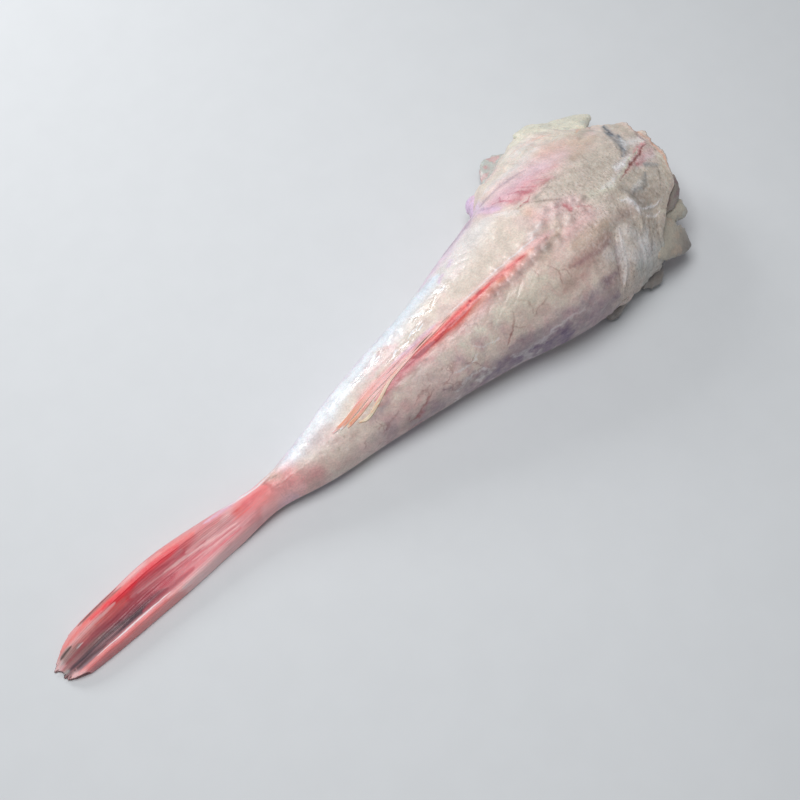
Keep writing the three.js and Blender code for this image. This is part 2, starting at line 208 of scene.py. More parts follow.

# A stain colours the skin along a path; painted highlights and painted shade are stains too. Its fields:
# colour, strength, half-width, plan points and how sharp its edge is.
SOFT, FIRM, CRISP = 2, 3, 4
Stain = namedtuple("Stain", "colour strength width path edge", defaults=[SOFT])
FLANK_STAINS = [
    # Pale bluish-white skin of the left flank, lightened as painted sheen from the light on that side; this
    # stroke and the next two.
    Stain("pale_sheen", 0.9, 9, [(12, 8), (35, 13), (62, 17)]),
    Stain("pale_sheen", 0.8, 9, [(55, 17), (90, 21), (125, 25), (150, 27)]),
    Stain("pale_sheen", 0.3, 10, [(140, 22), (170, 28), (194, 30)]),
    Stain("putty", 0.15, 9, [(150, 9), (175, 10), (196, 10)]),
    Stain("lilac", 0.6, 5, [(140, 31), (163, 36), (185, 40), (200, 42)]),
    Stain("violet", 0.3, 2, [(165, 37), (180, 39), (196, 41)]),
    Stain("lilac", 0.5, 3, [(2, 13), (25, 16), (50, 20), (80, 25), (120, 29)]),
    Stain("lilac", 0.5, 1.4, [(147, 21), (152, 23.5)]),
    Stain("lilac", 0.45, 1.4, [(159, 25), (163, 27.5)]),
    Stain("blush", 0.5, 3, [(80, 13), (92, 16), (100, 13)]),
    # The white strokes from here to the next blush are painted highlights: crisp glints on the wettest spots
    # and a broad white sheen along the left flank.
    Stain("glint_white", 0.95, 1.5, [(83, 13), (88, 14.6), (91, 16.6), (96, 17.6)], CRISP),
    Stain("glint_white", 0.9, 0.8, [(88, 12.4), (92, 13.4)], CRISP),
    Stain("glint_white", 0.95, 1.4, [(100, 15), (103, 16.6), (107, 16.8)], CRISP),
    Stain("glint_white", 0.9, 1.2, [(110, 13.8), (112, 16.4), (111.6, 18.6)], CRISP),
    Stain("glint_white", 0.95, 1.4, [(120, 17.8), (123, 15.4), (126, 13.4)], CRISP),
    Stain("glint_white", 0.9, 1.2, [(142, 18), (144.6, 17), (147, 16.4)], CRISP),
    Stain("glint_white", 0.9, 0.7, [(95, 6), (98, 7.6), (101, 8)], CRISP),
    Stain("glint_white", 0.9, 0.6, [(103, 7), (109, 7.4)], CRISP),
    Stain("glint_white", 0.9, 0.6, [(109, 9), (115, 9.8), (121, 9.6)], CRISP),
    Stain("glint_white", 0.8, 0.5, [(114, 7.4), (122, 7.6)], CRISP),
    Stain("glint_white", 0.6, 5, [(18, 9), (42, 12.4), (70, 13.6)]),
    Stain("glint_white", 0.5, 5, [(32, 14), (54, 17.4), (78, 19.6)]),
    Stain("glint_white", 0.3, 5, [(58, 17.4), (80, 19.6), (104, 22)]),
    Stain("glint_white", 0.15, 5, [(80, 19.6), (104, 22), (134, 25)]),
    Stain("glint_white", 0.9, 1.2, [(24, 8), (31, 9.4)], CRISP),
    Stain("glint_white", 0.6, 2.2, [(9, 9), (19, 7.4), (30, 7.6)]),
    Stain("blush", 0.5, 3.4, [(78, 9), (92, 10), (104, 11)]),
    Stain("tan", 0.25, 2.5, [(92, 19), (96, 14), (92, 11)]),
    Stain("tan", 0.2, 2.5, [(118, 16), (123, 13)]),
    Stain("tan", 0.2, 2.2, [(144, 19), (149, 15)]),
    Stain("ash_pink", 0.4, 6, [(30, 5), (42, 4)]),
    Stain("tan", 0.08, 9, [(10, -1), (40, -4), (66, -9)]),
    Stain("ash_pink", 0.14, 12, [(35, -13), (70, -16), (105, -21), (140, -28), (165, -34)]),
    Stain("rose", 0.12, 7, [(30, -10), (60, -13), (92, -18)]),
    Stain("rose", 0.3, 4.4, [(104, -8.4), (130, -9), (170, -10), (196, -11)]),
    Stain("violet", 0.3, 2.6, [(62, -10), (70, -9), (78, -8.6)]),
    Stain("blush", 0.4, 6, [(96, -14), (110, -17), (122, -20)]),
    Stain("blush", 0.35, 6, [(45, -12), (58, -15), (76, -17)]),
    Stain("violet", 0.14, 2.4, [(97, -11), (101, -14), (105, -17)]),
    Stain("violet", 0.2, 2, [(120, -17), (124, -21), (124, -26)]),
    Stain("violet", 0.2, 2, [(134, -18), (137.4, -22), (137, -27)]),
    Stain("violet", 0.16, 2, [(149, -19), (152, -24), (151, -29)]),
    Stain("ash_pink", 0.75, 3, [(108, -7), (96, -6), (84, -5.6), (72, -7.6)]),
    Stain("violet", 0.3, 3, [(60, -15), (74, -18)]),
    # From here to the next russet, the violet and plum bands run darker towards the low right edge: violet
    # skin, deepened there as painted shade.
    Stain("plum", 0.3, 3, [(66, -19.4), (84, -22.6), (106, -27)]),
    Stain("violet", 0.4, 4, [(80, -23.4), (100, -27.4), (124, -33)]),
    Stain("violet", 0.95, 4.4, [(112, -30.4), (130, -34.6), (150, -39), (172, -45), (190, -49)]),
    Stain("violet", 0.5, 4, [(180, -47), (204, -51), (226, -53)]),
    Stain("violet", 0.35, 3, [(150, -33), (172, -39.5), (195, -44.5), (228, -46)]),
    Stain("russet", 0.5, 0.5, [(101, -20.6), (92, -22), (81, -21.6)]),
    Stain("crimson", 0.2, 0.8, [(86, -22), (92, -22.6), (98, -21.5)]),
    Stain("russet", 0.3, 0.5, [(88, -18), (94, -17.5), (101, -19)]),
    Stain("russet", 0.3, 0.5, [(62, -12.5), (69, -15.5), (79, -16)]),
    Stain("russet", 0.25, 0.5, [(104, -14.5), (113, -17), (118, -16.5)]),
    Stain("plum", 0.4, 0.5, [(137, -9), (140, -11), (142.5, -12.5), (141, -17)]),
    Stain("russet", 0.6, 0.6, [(150, -31), (157, -28), (163, -23.5)]),
    Stain("russet", 0.55, 0.5, [(168, -20), (173, -25), (171, -30)]),
    Stain("russet", 0.5, 0.5, [(194, -17), (197, -24), (194, -32)]),
    Stain("russet", 0.45, 0.4, [(197, -24), (201, -27), (202, -32)]),
    Stain("russet", 0.45, 0.4, [(157, -28), (160, -31), (164, -32.6)]),
    Stain("russet", 0.5, 0.5, [(170, -32), (177, -30), (184, -31)]),
    Stain("russet", 0.45, 0.5, [(186, -14), (187, -19), (184, -23)]),
    Stain("plum", 0.4, 0.6, [(106, -24), (118, -28), (127, -29)]),
    Stain("umber", 0.6, 0.7, [(40, -7.5)], FIRM),
    Stain("umber", 0.5, 0.5, [(35, -4.5)], FIRM),
    Stain("umber", 0.4, 0.5, [(47, -5)], FIRM),
    Stain("ivory", 0.35, 1.6, [(112, -11), (116, -15), (117, -21)]),
    Stain("ivory", 0.4, 1.8, [(126, -14), (130.6, -19), (130, -26)]),
    Stain("ivory", 0.4, 2.2, [(139, -15), (144, -20), (144, -27)]),
    Stain("ivory", 0.35, 2.2, [(153, -14), (158, -19), (158, -25)]),
    Stain("ivory", 0.5, 5, [(150, -20), (172, -22), (190, -22)]),
    Stain("cream", 0.7, 5, [(34, -9), (48, -10), (68, -14.6)]),
    Stain("cream", 0.4, 4, [(94, -14), (112, -16), (122, -17)]),
    Stain("porcelain", 0.3, 0.6, [(150, -36), (172, -42), (200, -47)]),
    Stain("porcelain", 0.4, 0.5, [(112, -27), (124, -29), (140, -33.4)]),
    Stain("porcelain", 0.45, 0.5, [(116, -22), (125, -25), (133, -24.4)]),
    Stain("porcelain", 0.4, 0.5, [(132, -20), (139, -24.4), (148, -27)]),
    Stain("tan", 0.25, 14, [(165, -17), (190, -23), (208, -25)]),
    Stain("putty", 0.3, 8, [(160, -28), (180, -30), (200, -32)]),
]
# Painted shade in the gaps between the nodules beside the laid fin: station, and where the gap begins and
# ends across.
NODULE_GAP_SHADE = [
    (162.6, -8, -9.6), (171.6, -8.2, -10), (180.6, -8.6, -10.4), (189.6, -9, -10.8), (198.6, -9.4, -11.4),
]
for station, begin, end in NODULE_GAP_SHADE:
    FLANK_STAINS.append(Stain("umber", 0.44, 2.6, [(station, begin), (station - 0.2, end)]))
HOOD_STAINS = [
    Stain("blush", 0.75, 12, [(206, 36), (226, 35), (246, 34), (262, 32)]),
    Stain("rose", 0.4, 7, [(202, 37), (214, 33), (228, 30)]),
    Stain("salmon", 0.25, 5, [(226, 31), (240, 29), (252, 27)]),
    Stain("rose", 0.4, 3.4, [(210, 27), (224, 25), (242, 22)]),
    Stain("lilac", 0.55, 4, [(208, 50), (203, 44), (201, 38), (205, 30)]),
    Stain("violet", 0.25, 1.2, [(203, 43), (202, 38), (205, 34)]),
    Stain("porcelain", 0.3, 2.4, [(200, 28), (204, 22), (208, 18)]),
    Stain("porcelain", 0.4, 4, [(214, 50), (222, 50), (234, 48), (250, 49), (262, 50)]),
    Stain("violet", 0.3, 1.2, [(205, 45.5), (214, 44.5), (227, 43), (240, 41)]),
    Stain("crimson", 0.3, 2.0, [(211, 28), (214, 25), (216, 24)]),
    Stain("crimson", 0.38, 2.0, [(219.6, 27), (222, 24.6), (224, 23.6)]),
    Stain("crimson", 0.22, 1.5, [(229, 23.4), (234, 22), (239, 21.6)]),
    Stain("russet", 0.35, 0.9, [(229, 21.4), (236, 20.8), (243, 20.8)]),
    Stain("crimson", 0.6, 0.5, [(206, 36), (210, 32), (213, 27)]),
    Stain("crimson", 0.5, 0.5, [(209, 33), (213, 36)]),
    Stain("crimson", 0.5, 0.5, [(216, 34), (219, 30), (222, 25.5)]),
    Stain("crimson", 0.45, 0.5, [(222, 33), (226, 28), (229, 23)]),
    Stain("crimson", 0.4, 0.5, [(230, 32), (234, 27), (237, 23)]),
    Stain("crimson", 0.6, 0.5, [(212, 19.6), (218, 20), (222, 21.6)]),
    Stain("orange", 0.16, 6, [(256, 43), (268, 41), (279, 36)]),
    Stain("tan", 0.55, 5.4, [(262, 23), (278, 29), (292, 31)]),
    Stain("tan", 0.4, 4, [(282, 42), (292, 43), (300, 43)]),
    Stain("ivory", 0.4, 9, [(225, 56), (245, 60), (262, 62)]),
    Stain("ivory", 0.9, 9, [(262, 72), (276, 70), (290, 64), (306, 59)]),
    Stain("orange", 0.25, 1.6, [(252, 63), (266, 60), (280, 53)]),
    Stain("orange", 0.5, 0.9, [(289, 42.4), (297, 46), (305, 49.5)]),
    # Painted shade in the crease of the sunk fold along this line.
    Stain("umber", 0.3, 0.7, [(302, 41), (308, 45.5), (314, 50)]),
    Stain("umber", 0.3, 3, [(283, 35), (292, 39), (300, 38)]),
    Stain("ivory", 0.35, 6, [(268, 54), (282, 47), (294, 43)]),
    Stain("putty", 0.3, 11, [(245, 13), (265, 10), (280, 18)]),
    Stain("putty", 0.4, 6, [(240, 2), (252, -4), (262, -10)]),
    Stain("violet", 0.2, 4, [(297, 7), (287, 2), (276, 0)]),
    Stain("lilac", 0.25, 10, [(212, 36), (228, 35), (244, 34)]),
    # Painted shade in creases: the arc of the sunk fold, and on the next line the line beneath the pink roll
    # of the left flap.
    Stain("umber", 0.5, 0.9, [(218, 17), (224, 13.4), (230, 8.6), (235, 3.7)]),
    Stain("umber", 0.25, 1.0, [(207, 20.5), (216, 18.5), (230, 18.5), (244, 20)]),
    Stain("orange", 0.3, 3.5, [(212, 13), (214, 4)]),
    Stain("blush", 0.7, 7, [(214, 6), (226, 3), (236, 0)]),
    Stain("blush", 0.5, 8, [(206, -14), (220, -15), (236, -13)]),
    Stain("crimson", 0.5, 1.7, [(230.4, 1.8), (230.4, -1.8)]),
    Stain("crimson", 0.26, 0.6, [(227, 3), (223, 4.5)]),
    Stain("crimson", 0.3, 0.7, [(234, -3.4), (239, -6), (241, -9)]),
    Stain("rose", 0.25, 5, [(216, -11), (226, -12), (236, -9)]),
    Stain("tan", 0.35, 5, [(196, -14), (204, -14), (210, -12)]),
    # Painted shadow below the nodules by the vent, on this line and the next.
    Stain("umber", 0.55, 3.4, [(213, -8), (206, -8.8), (198, -9.2)]),
    Stain("tan", 0.5, 4, [(201, -5), (208, -5), (216, -4.4)]),
    # Painted shade in a crease running from the vent.
    Stain("umber", 0.25, 0.8, [(230, -2), (232, -9)]),
    Stain("ivory", 0.6, 3.2, [(246, -3), (256, -5.5), (266, -6.5)]),
    Stain("porcelain", 0.4, 1.8, [(256, -4), (262, -5), (270, -4)]),
    Stain("porcelain", 0.25, 2, [(296, 4.6), (288, 2), (278, -1), (266, -4.4)]),
    Stain("porcelain", 0.4, 0.5, [(292, 4.4), (282, 1.6), (272, -0.6)]),
    Stain("porcelain", 0.55, 3.6, [(276, 3), (292, -1.6), (312, -2.6)]),
    Stain("blush", 0.7, 4, [(292, -3.6), (302, -1), (312, 1)]),
    Stain("rose", 0.6, 2.4, [(315, 9), (306, 6), (298, 3.6)]),
    Stain("rose", 0.35, 2, [(300, 2.6), (288, -2.4), (278, -5)]),
    # Dark red line along the far crease: partly the skin's own colour, partly painted shade in the crease.
    Stain("russet", 0.9, 0.8, [(314, 7.4), *FAR_CREASE, (271, -6.6)]),
    Stain("rose", 0.3, 1.6, [(306, 2), (300, -2), (290, -4)]),
    Stain("ivory", 0.9, 0.6, [(306, 6.8), (299, 3.4), (291, 1.2), (282, -1.4), (268, -5.4)], FIRM),
    Stain("crimson", 0.3, 0.9, [(289, -3), (295, -4.4), (302, -4.6)]),
    Stain("slate", 0.75, 2.2, [(314, 39), (308, 32), (303.4, 25)]),
    Stain("slate", 0.6, 4.4, [(305, 29), (302, 20), (297, 12)]),
    Stain("slate", 0.6, 2.0, [(300, 13.7), (294, 8.7), (288, 5)]),
    Stain("soot", 0.4, 0.8, [(312, 37), (307, 31), (304, 24)]),
    Stain("slate", 0.7, 1.6, [(308, 24), (304, 18), (300, 13)]),
    Stain("porcelain", 0.5, 4, [(314, 13), (305, 13)]),
    Stain("porcelain", 0.5, 1.4, [(306, 21), (302.6, 15), (297, 9)]),
    Stain("plum", 0.6, 1.0, [(320, 20), (317, 14), (316, 8)]),
    Stain("slate", 0.8, 2.4, [(292, -11), (286, -15), (278, -17.4), (270, -18.4)]),
    Stain("soot", 0.35, 0.8, [(289, -14), (284, -17.4), (278, -18.8)]),
    Stain("slate", 0.5, 2.2, [(296, -7), (302, -8.6), (306, -10)]),
    Stain("porcelain", 0.5, 1.3, [(284, -13.6), (276, -15.6), (270, -16.6)]),
    Stain("ivory", 0.5, 3, [(314, -3), (309, -12), (302, -20), (294, -27)]),
    Stain("tan", 0.4, 2.4, [(312, -8), (307, -15), (300, -23)]),
    Stain("umber", 0.5, 0.6, [(306, -8), (302, -14), (295, -20), (290, -26)]),
    Stain("umber", 0.45, 0.5, [(284, -14), (291, -18), (297, -19.6)]),
    Stain("orange", 0.35, 1.0, [(320, 26), (320, 16), (319, 6), (316, -6), (311, -16)]),
    Stain("putty", 0.6, 4, [(315, 34), (316, 26), (316, 18)]),
    Stain("plum", 0.25, 2.4, [(317, 7), (311, 5)]),
    Stain("putty", 0.6, 13, [(250, -38), (268, -38), (286, -30)]),
    Stain("putty", 0.4, 9, [(262, -14), (280, -12), (296, -14)]),
    Stain("umber", 0.3, 4, [(270, -23), (279, -24), (286, -22)]),
    Stain("porcelain", 0.4, 2.6, [(246, -28.6), (242, -33.8), (238, -40), (235.6, -46), (230, -51)]),
    Stain("porcelain", 0.4, 3.4, [(248, -33), (252, -39), (254, -45)]),
    Stain("porcelain", 0.4, 2.4, [(262, -38), (256, -42), (252, -43)]),
    # Painted shade beside the lip of the right flap and on the flank below it, on this line and the next two.
    Stain("plum", 0.35, 1.6, [(240, -31), (237, -36), (233, -42), (228, -47)]),
    Stain("plum", 0.4, 3.4, [(218, -47), (230, -46)]),
    Stain("russet", 0.36, 5, [(196, -33.4), (206, -33.4), (216, -33.4)]),
    Stain("porcelain", 0.3, 5, [(229, -36), (238, -38), (246, -47)]),
    Stain("sea_grey", 0.6, 5, [(242, -50), (258, -50.6), (276, -48)]),
    Stain("porcelain", 0.4, 4, [(243, -46), (252, -47), (262, -46)]),
    Stain("porcelain", 0.4, 6, [(252, 60), (263, 61)]),
    Stain("blush", 0.5, 4, [(228, 60), (240, 66)]),
    # Painted shadow beside the white rib of the right flap.
    Stain("clay", 0.45, 4, [(243, -26), (254, -27), (258, -26)]),
    Stain("clay", 0.6, 4, [(268, -13), (271, -20), (271, -28)]),
    Stain("russet", 0.4, 4.4, [(204, -28), (222, -29), (240, -28)]),
    Stain("plum", 0.3, 1.6, [(206, -29), (222, -31), (238, -31)]),
    Stain("tan", 0.6, 5, [(212, -20), (226, -21), (242, -22)]),
    Stain("russet", 0.2, 4, [(250, -24), (262, -25)]),
    Stain("porcelain", 0.5, 1.3, [(258, -16), (263, -20), (265.5, -25), (263, -31)]),
    Stain("porcelain", 0.45, 2.4, [(264, -20), (265.5, -26)]),
    Stain("porcelain", 0.75, 0.5, [(266, -26.5), (271, -29), (277, -30), (285, -29.5)]),
    Stain("porcelain", 0.65, 0.5, [(265, -30), (269, -33), (275, -34.5)]),
    Stain("porcelain", 0.5, 0.45, [(270, -30), (273, -33.5), (279, -35)]),
    # Painted shade in the sunk folds of the right flap, on this line and the next.
    Stain("umber", 0.4, 0.7, [(268, -33), (262, -41), (258, -49)]),
    Stain("umber", 0.4, 0.7, [(275, -35), (269, -43), (266, -51)]),
    Stain("ivory", 0.4, 2.0, [(279, -33), (284, -41), (288, -47)]),
]
LAID_STAINS = [
    Stain("blush", 0.6, 5, [(214, -5), (190, -5), (165, -4.4), (140, -3.6)]),
    Stain("petal", 0.6, 3.4, [(210, -4.6), (192, -4.8), (176, -4.6)]),
    Stain("orange", 0.4, 2.6, [(196, -6), (180, -5.8), (164, -5.4)]),
    Stain("salmon", 0.85, 4.2, [(190, -5.4), (165, -4.2), (140, -3.8), (118, -3.4), (98, -1.8)]),
    Stain("orange", 0.4, 2.4, [(172, -6.4), (150, -6), (128, -5.4)]),
    Stain("coral", 1.0, 2.8, [(163, -3.6), (148, -3.4), (130, -3.6), (112, -3.2), (90, -2.6)], FIRM),
    Stain("coral", 0.5, 1.3, [(188, -5), (174, -4.2), (156, -3.4)]),
    Stain("cherry", 0.95, 2.4, [(114, -4), (98, -3.4), (86, -3.2), (74, -4.4)]),
    Stain("coral", 0.7, 2, [(146, -5), (136, -5.6), (126, -4.8)]),
    Stain("crimson", 0.55, 0.4, [(190, -5), (183, -5), (175, -4.4)]),
    Stain("crimson", 0.5, 0.4, [(178, -3.6), (168, -2.6), (158, -2)]),
    Stain("crimson", 0.5, 0.5, [(172, -4.6), (162, -3.8), (150, -3.4)]),
    Stain("crimson", 0.5, 0.5, [(142, -2), (132, -2.4), (122, -3)]),
    Stain("crimson", 0.6, 0.8, [(138, -4), (131, -3.8), (122, -4.4)]),
    Stain("crimson", 0.95, 0.9, [(148, -2.2)], FIRM),
    Stain("crimson", 0.95, 0.9, [(145.4, -3.4)], FIRM),
    Stain("crimson", 0.7, 0.7, [(157, -2.2), (153, -2.6)]),
    # Red painted shadow under the strands of the laid fin.
    Stain("crimson", 0.8, 0.7, [(124, -5.2), (113, -4.4), (104, -3.4), (90, -2.2)]),
    Stain("petal", 0.5, 0.5, [(160, -5), (146, -4.6), (128, -5)]),
    Stain("rose", 0.85, 2.2, [(118, -4), (100, -3), (86, -2.6), (72, -3.4)], FIRM),
    # Red painted shadow under the cream ray.
    Stain("crimson", 0.75, 0.6, [(104, -3.6), (95, -2.8), (86, -2.2)]),
    Stain("crimson", 0.8, 1.0, [(79, 2.2), (74, 1.4), (70, 1)]),
    Stain("rose", 0.7, 2, [(128, 1.8), (110, 2.4), (95, 3), (80, 3.2), (62, 2.2)]),
    Stain("cherry", 0.5, 0.8, [(116, 2), (98, 2.6), (84, 2.8)]),
    Stain("petal", 0.6, 1.6, [(130, 1.9), (117, 2.8), (104, 3.2), (94, 3)]),
    Stain("lilac", 0.5, 1.2, [(126, 3), (108, 3.8), (92, 4.4)]),
    Stain("salmon", 0.6, 3, [(92, 0), (76, 2.4), (60, 1)]),
    Stain("porcelain", 0.8, 0.45, [(204, -1.6), (185, -1), (165, 0), (150, 0.6), (134, 1)]),
    Stain("porcelain", 0.3, 1.6, [(197, 0.4), (206, 1.6), (213, 3)]),
    # The dark slit at the edge of the laid fin: painted shade.
    Stain("umber", 0.7, 0.4, [(135, 0.6), (131, 0.6), (127, 0.5)]),
]
FIN_STAINS = [
    Stain("coral", 0.8, 4.6, [(-150, 17), (-120, 18.6), (-96, 18.4), (-72, 18), (-50, 16)]),
    Stain("cherry", 0.5, 4, [(-92, 19), (-70, 17.4), (-50, 14)]),
    Stain("cherry", 0.85, 4.6, [(-100, 13.4), (-80, 13.4), (-62, 11.4), (-48, 9)]),
    Stain("petal", 0.5, 2.6, [(-147, 18), (-138, 20), (-126, 21)]),
    Stain("petal", 0.6, 2, [(-102, 22), (-88, 22.4), (-70, 21)]),
    Stain("mauve", 0.9, 2.4, [(-146, 11), (-125, 11.2), (-104, 10.6), (-88, 9.8)]),
    Stain("salmon", 0.8, 1.8, [(-146, 14), (-130, 14.4), (-116, 14.6)]),
    Stain("coral", 0.6, 2.2, [(-122, 14.8), (-108, 14.8), (-94, 15)]),
    Stain("rose", 0.7, 2.4, [(-98, 13.6), (-80, 14.2), (-60, 13.4)]),
    Stain("mauve", 0.95, 3, [(-114, 9), (-94, 8.4), (-72, 7)]),
    Stain("ash", 0.95, 4, [(-156, 6.2), (-136, 6), (-116, 5.7), (-96, 4.8), (-80, 3.6)], FIRM),
    Stain("crimson", 0.45, 2.2, [(-110, 8.4), (-92, 7.6), (-70, 6.8)]),
    Stain("ash", 0.35, 1.6, [(-112, 8.4), (-98, 7.4), (-84, 6)]),
    Stain("ash", 0.5, 1.6, [(-100, 3), (-84, 2.8), (-66, 2.4)]),
    Stain("mauve", 0.8, 2.2, [(-98, 3.4), (-82, 3), (-62, 2.2)]),
    Stain("cherry", 0.5, 2.6, [(-84, 8), (-68, 6.4), (-50, 5)]),
    Stain("umber", 0.5, 1.3, [(-151, 9.4), (-138, 9.4), (-120, 9)]),
    Stain("slate", 0.5, 1.0, [(-147, 3.8), (-138, 3.2), (-126, 2.8)]),
    Stain("soot", 0.6, 0.7, [(-148, 5), (-136, 4), (-124, 3.4)]),
    Stain("soot", 0.4, 0.6, [(-128, 6.8), (-112, 6.4), (-96, 5.4)]),
    Stain("petal", 0.4, 2.4, [(-120, -0.6), (-96, -1.4), (-60, -3), (-24, -4)]),
    Stain("mauve", 0.7, 1.8, [(-146, -3), (-126, -4), (-108, -4.4)]),
    Stain("coral", 0.55, 1.3, [(-142, -0.8), (-112, -1), (-72, -1.6)]),
    Stain("salmon", 0.6, 2, [(-140, -3.6), (-100, -4.2), (-60, -4.6), (-30, -4)]),
    Stain("salmon", 0.85, 1.0, [(-149, 1.4), (-136, 0.8), (-122, 0.4)]),
    # Painted highlight along the crest of the fin's right ridge.
    Stain("porcelain", 0.95, 0.5, [(-132, 1.5), (-112, 1.2), (-92, 0.9), (-80, 0.6)], FIRM),
    # On this line and the next three: the pale tissue of the fin's right band, lightened as painted light
    # where it faces away from the lamps, with a painted glint.
    Stain("petal", 0.7, 1.0, [(-84, -0.8), (-66, -2.4), (-48, -3)]),
    Stain("petal", 0.8, 2, [(-76, -2.4), (-54, -3.4), (-20, -4)]),
    Stain("porcelain", 0.25, 1.6, [(-74, -2.4), (-56, -3.2), (-36, -3.6)]),
    Stain("petal", 0.5, 1.6, [(-60, -2.6), (-42, -2.8), (-14, -3.4)]),
    # Painted highlight line along the fin's left ridge.
    Stain("petal", 0.85, 0.9, [(-76, 11.6), (-60, 9.8), (-44, 7), (-28, 4)]),
    Stain("coral", 0.3, 2.6, [(-60, 14), (-46, 13), (-30, 11.6)]),
    Stain("petal", 0.6, 2, [(-60, 11.4), (-44, 10.6), (-28, 10)]),
    Stain("petal", 0.6, 2, [(-34, 11), (-20, 10.6), (-6, 10)]),
    # Painted highlight lines on the fin, on this line and the next.
    Stain("petal", 0.6, 0.7, [(-60, 6), (-44, 3.8), (-28, 1.8)]),
    Stain("petal", 0.5, 0.6, [(-94, 12.8), (-72, 11), (-50, 8.4)]),
    Stain("cherry", 0.5, 0.7, [(-72, 3.4), (-50, 1.8), (-28, 0.4)]),
    Stain("cherry", 0.5, 0.8, [(-70, 8), (-52, 5.8), (-30, 3)]),
    Stain("salmon", 0.6, 2.4, [(-150, 17.4), (-136, 18), (-122, 18.4)]),
    Stain("scarlet", 0.9, 1.2, [(-122, 17.8), (-108, 17.6), (-94, 17.4)]),
    Stain("scarlet", 1.0, 2.2, [(-114, 17.4), (-103, 17), (-90, 16.8)]),
    Stain("scarlet", 0.85, 2.8, [(-96, 16.8), (-78, 17.2), (-60, 17)]),
    Stain("crimson", 0.5, 0.8, [(-100, 15.4), (-84, 15.4), (-66, 13)]),
    Stain("petal", 0.75, 1.2, [(-146, 15.2), (-126, 15.8), (-106, 16)]),
    Stain("umber", 0.5, 0.9, [(-128, 20.8), (-114, 21.4), (-98, 21.2)]),
    Stain("soot", 1.0, 0.8, [(-129, 21.4), (-118, 22.4), (-108, 22.8), (-100, 23)], FIRM),
    Stain("petal", 0.5, 1.4, [(-97, 23.4), (-88, 23.6), (-78, 23.2)]),
    Stain("salmon", 0.6, 2.6, [(-80, 22), (-64, 20), (-48, 16.6)]),
    Stain("coral", 0.8, 4.6, [(-24, 8), (-14, 7), (-5, 6)]),
    Stain("cherry", 0.5, 3.4, [(-18, 8), (-5, 7)]),
    Stain("lilac", 0.6, 1.4, [(-42, 16.4), (-24, 14.4), (-4, 13)]),
    Stain("petal", 0.7, 0.9, [(-24, 13), (-14, 13), (-6, 11.4), (-1.6, 8), (-2.4, 3.6)]),
    Stain("salmon", 0.8, 8, [(-4, 2.4), (9, 1.6)]),
    Stain("cherry", 0.25, 5, [(-3, 3), (8, 2.4)]),
    Stain("rose", 0.6, 6, [(0, -3), (12, -5), (24, -8)]),
    Stain("tan", 0.4, 3, [(3, 9), (6, 6)]),
    Stain("umber", 0.45, 1.2, [(-4, 9.6), (1, 8.6), (6, 7.2)]),
    # Painted highlight along the upper left edge of the fin's root.
    Stain("porcelain", 0.8, 0.8, [(-30, 15.8), (-18, 13.4), (-8, 11.8), (2, 11), (10, 11.6)]),
    # The right side of the fin's root is lightened here as painted light.
    Stain("petal", 0.8, 4.4, [(-14, -3), (0, -5), (13, -7.2)]),
    Stain("lilac", 0.35, 2, [(-6, -5), (8, -7.4)]),
    Stain("clay", 0.6, 2, [(-148, 12.4), (-142, 13), (-134, 13)]),
    Stain("petal", 0.6, 2, [(-153, 3.4), (-146, 3.4)]),
    Stain("porcelain", 0.6, 1.6, [(-153, 11.8), (-148, 13)]),
    Stain("sea_grey", 0.5, 2, [(-149, 14), (-144, 15), (-140, 15)]),
    Stain("sea_grey", 0.6, 1.2, [(-151, 8), (-148, 7.6)]),
    Stain("porcelain", 0.5, 0.8, [(-149, 2), (-145, 2)]),
    Stain("petal", 0.8, 2, [(-147, 2.4), (-142, 0)]),
    Stain("petal", 0.6, 1.8, [(-152, 12), (-147, 16)]),
    # Painted shade in a slit at the fin's tip.
    Stain("soot", 0.85, 0.8, [(-147, 14.6), (-143, 15), (-138, 15)]),
    # Painted glint at the fin's tip.
    Stain("porcelain", 0.6, 0.3, [(-137, 12.7), (-132, 12.7)]),
]
# Stains in streaks along the tail, and the rest.
STREAKED = LAID_STAINS + FIN_STAINS
SPECKLED = FLANK_STAINS + HOOD_STAINS

# Where fine veins show through the skin: strength, half-width, plan points.
VeinPatch = namedtuple("VeinPatch", "strength width path")
VEIN_PATCHES = [
    VeinPatch(1.0, 9, [(50, -14), (90, -19), (130, -26), (160, -34)]),
    VeinPatch(0.7, 8, [(205, 32), (235, 30), (270, 38)]),
    VeinPatch(0.6, 9, [(215, -6), (235, -8)]),
    VeinPatch(0.5, 12, [(255, -30), (285, -20)]),
]

